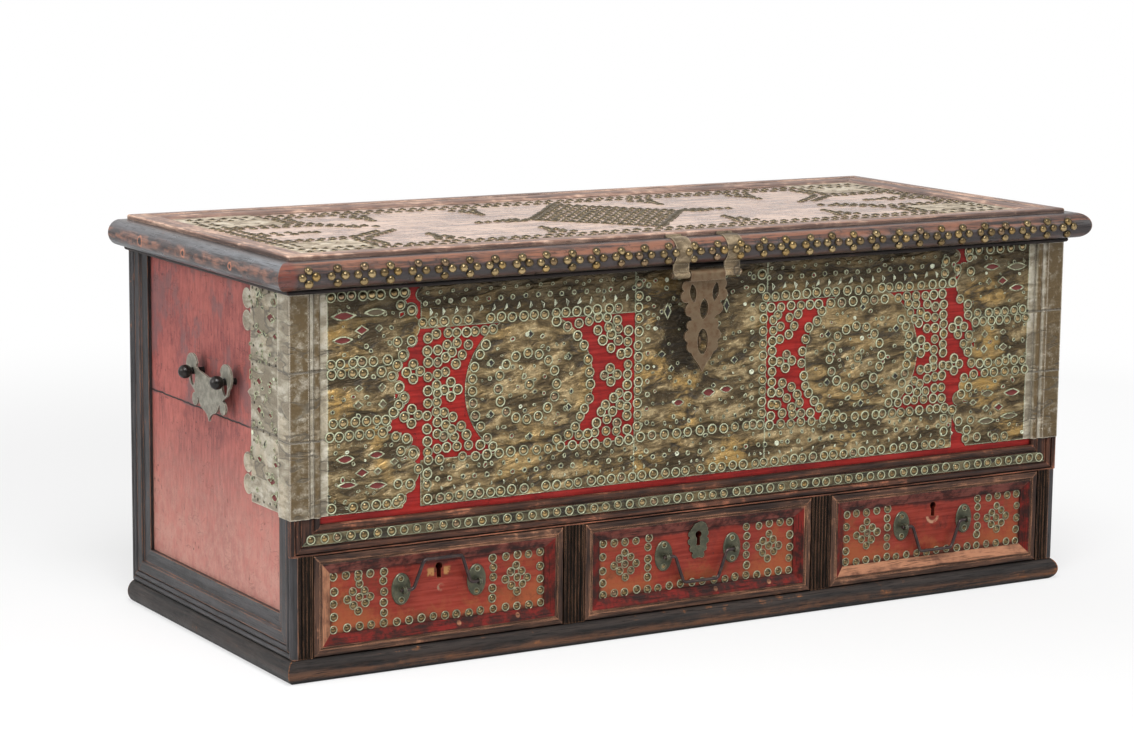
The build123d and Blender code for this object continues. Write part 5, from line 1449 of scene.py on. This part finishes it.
def add_lamp(name, place, target, size, power):
    data = bpy.data.lights.new(name, "AREA")
    data.shape = "SQUARE"
    data.size = size
    data.energy = power
    lamp = bpy.data.objects.new(name, data)
    lamp.location = place
    lamp.rotation_euler = (Vector(target) - Vector(place)).to_track_quat("-Z", "Y").to_euler()
    bpy.context.collection.objects.link(lamp)


def add_camera(scene):
    """Camera at its place, turned about the upright, raised, and rolled a little."""
    turn, height, roll = CAMERA_TURN, CAMERA_HEIGHT, CAMERA_ROLL
    back = Vector((math.sin(turn) * math.cos(height), -math.cos(turn) * math.cos(height), math.sin(height)))
    right = Vector((math.cos(turn), math.sin(turn), 0.0))
    up = back.cross(right)
    data = bpy.data.cameras.new("camera")
    data.lens = CAMERA_LENS
    data.sensor_width = CAMERA_SENSOR
    camera = bpy.data.objects.new("camera", data)
    rolled_right = right * math.cos(roll) + up * math.sin(roll)
    rolled_up = up * math.cos(roll) - right * math.sin(roll)
    axes = Matrix((rolled_right, rolled_up, back)).transposed().to_4x4()
    camera.matrix_world = Matrix.Translation(CAMERA_PLACE) @ axes
    bpy.context.collection.objects.link(camera)
    scene.camera = camera


class CHEST_OT_stage(bpy.types.Operator):
    """Pale floor, studio lamps and the camera"""
    bl_idname = "chest.stage"
    bl_label = "Stage"

    def execute(self, context):
        scene = context.scene
        scene.view_settings.view_transform = "Standard"
        bm = bmesh.new()
        bmesh.ops.create_grid(bm, x_segments=1, y_segments=1, size=FLOOR_HALF)
        mesh = bpy.data.meshes.new("studio_floor")
        bm.to_mesh(mesh)
        bm.free()
        floor = bpy.data.objects.new("studio_floor", mesh)
        context.collection.objects.link(floor)
        mesh.materials.append(floor_paint(scene.chest_colours))
        scene.world = studio_world()
        for lamp in LAMPS:
            add_lamp(*lamp)
        add_camera(scene)
        return {"FINISHED"}


class CHEST_PT_panel(bpy.types.Panel):
    """Makers of the chest's finishes and fittings"""
    bl_idname = "CHEST_PT_panel"
    bl_label = "Dowry Chest"
    bl_space_type = "VIEW_3D"
    bl_region_type = "UI"
    bl_category = "Chest"

    def draw(self, context):
        layout = self.layout
        for operator in OPERATORS:
            layout.operator(operator.bl_idname)
        for group in (context.scene.chest_colours, context.scene.chest_sizes):
            box = layout.box()
            for name in group.__annotations__:
                box.prop(group, name)


GROUPS = (ChestColours, ChestSizes)
OPERATORS = (CHEST_OT_stage, CHEST_OT_woodwork, CHEST_OT_paintwork, CHEST_OT_brass_sheets, CHEST_OT_ironwork,
             CHEST_OT_front_studs, CHEST_OT_punched_rims, CHEST_OT_rail_studs, CHEST_OT_edge_studs,
             CHEST_OT_lid_studs, CHEST_OT_drawer_studs, CHEST_OT_sheet_nails)


def register():
    for item in (*GROUPS, *OPERATORS, CHEST_PT_panel):
        bpy.utils.register_class(item)
    bpy.types.Scene.chest_colours = PointerProperty(type=ChestColours)
    bpy.types.Scene.chest_sizes = PointerProperty(type=ChestSizes)


def unregister():
    del bpy.types.Scene.chest_sizes
    del bpy.types.Scene.chest_colours
    for item in (CHEST_PT_panel, *reversed(OPERATORS), *reversed(GROUPS)):
        bpy.utils.unregister_class(item)


def main():
    register()
    for operator in OPERATORS:
        group, name = operator.bl_idname.split(".")
        getattr(getattr(bpy.ops, group), name)()


if __name__ == "__main__":
    main()
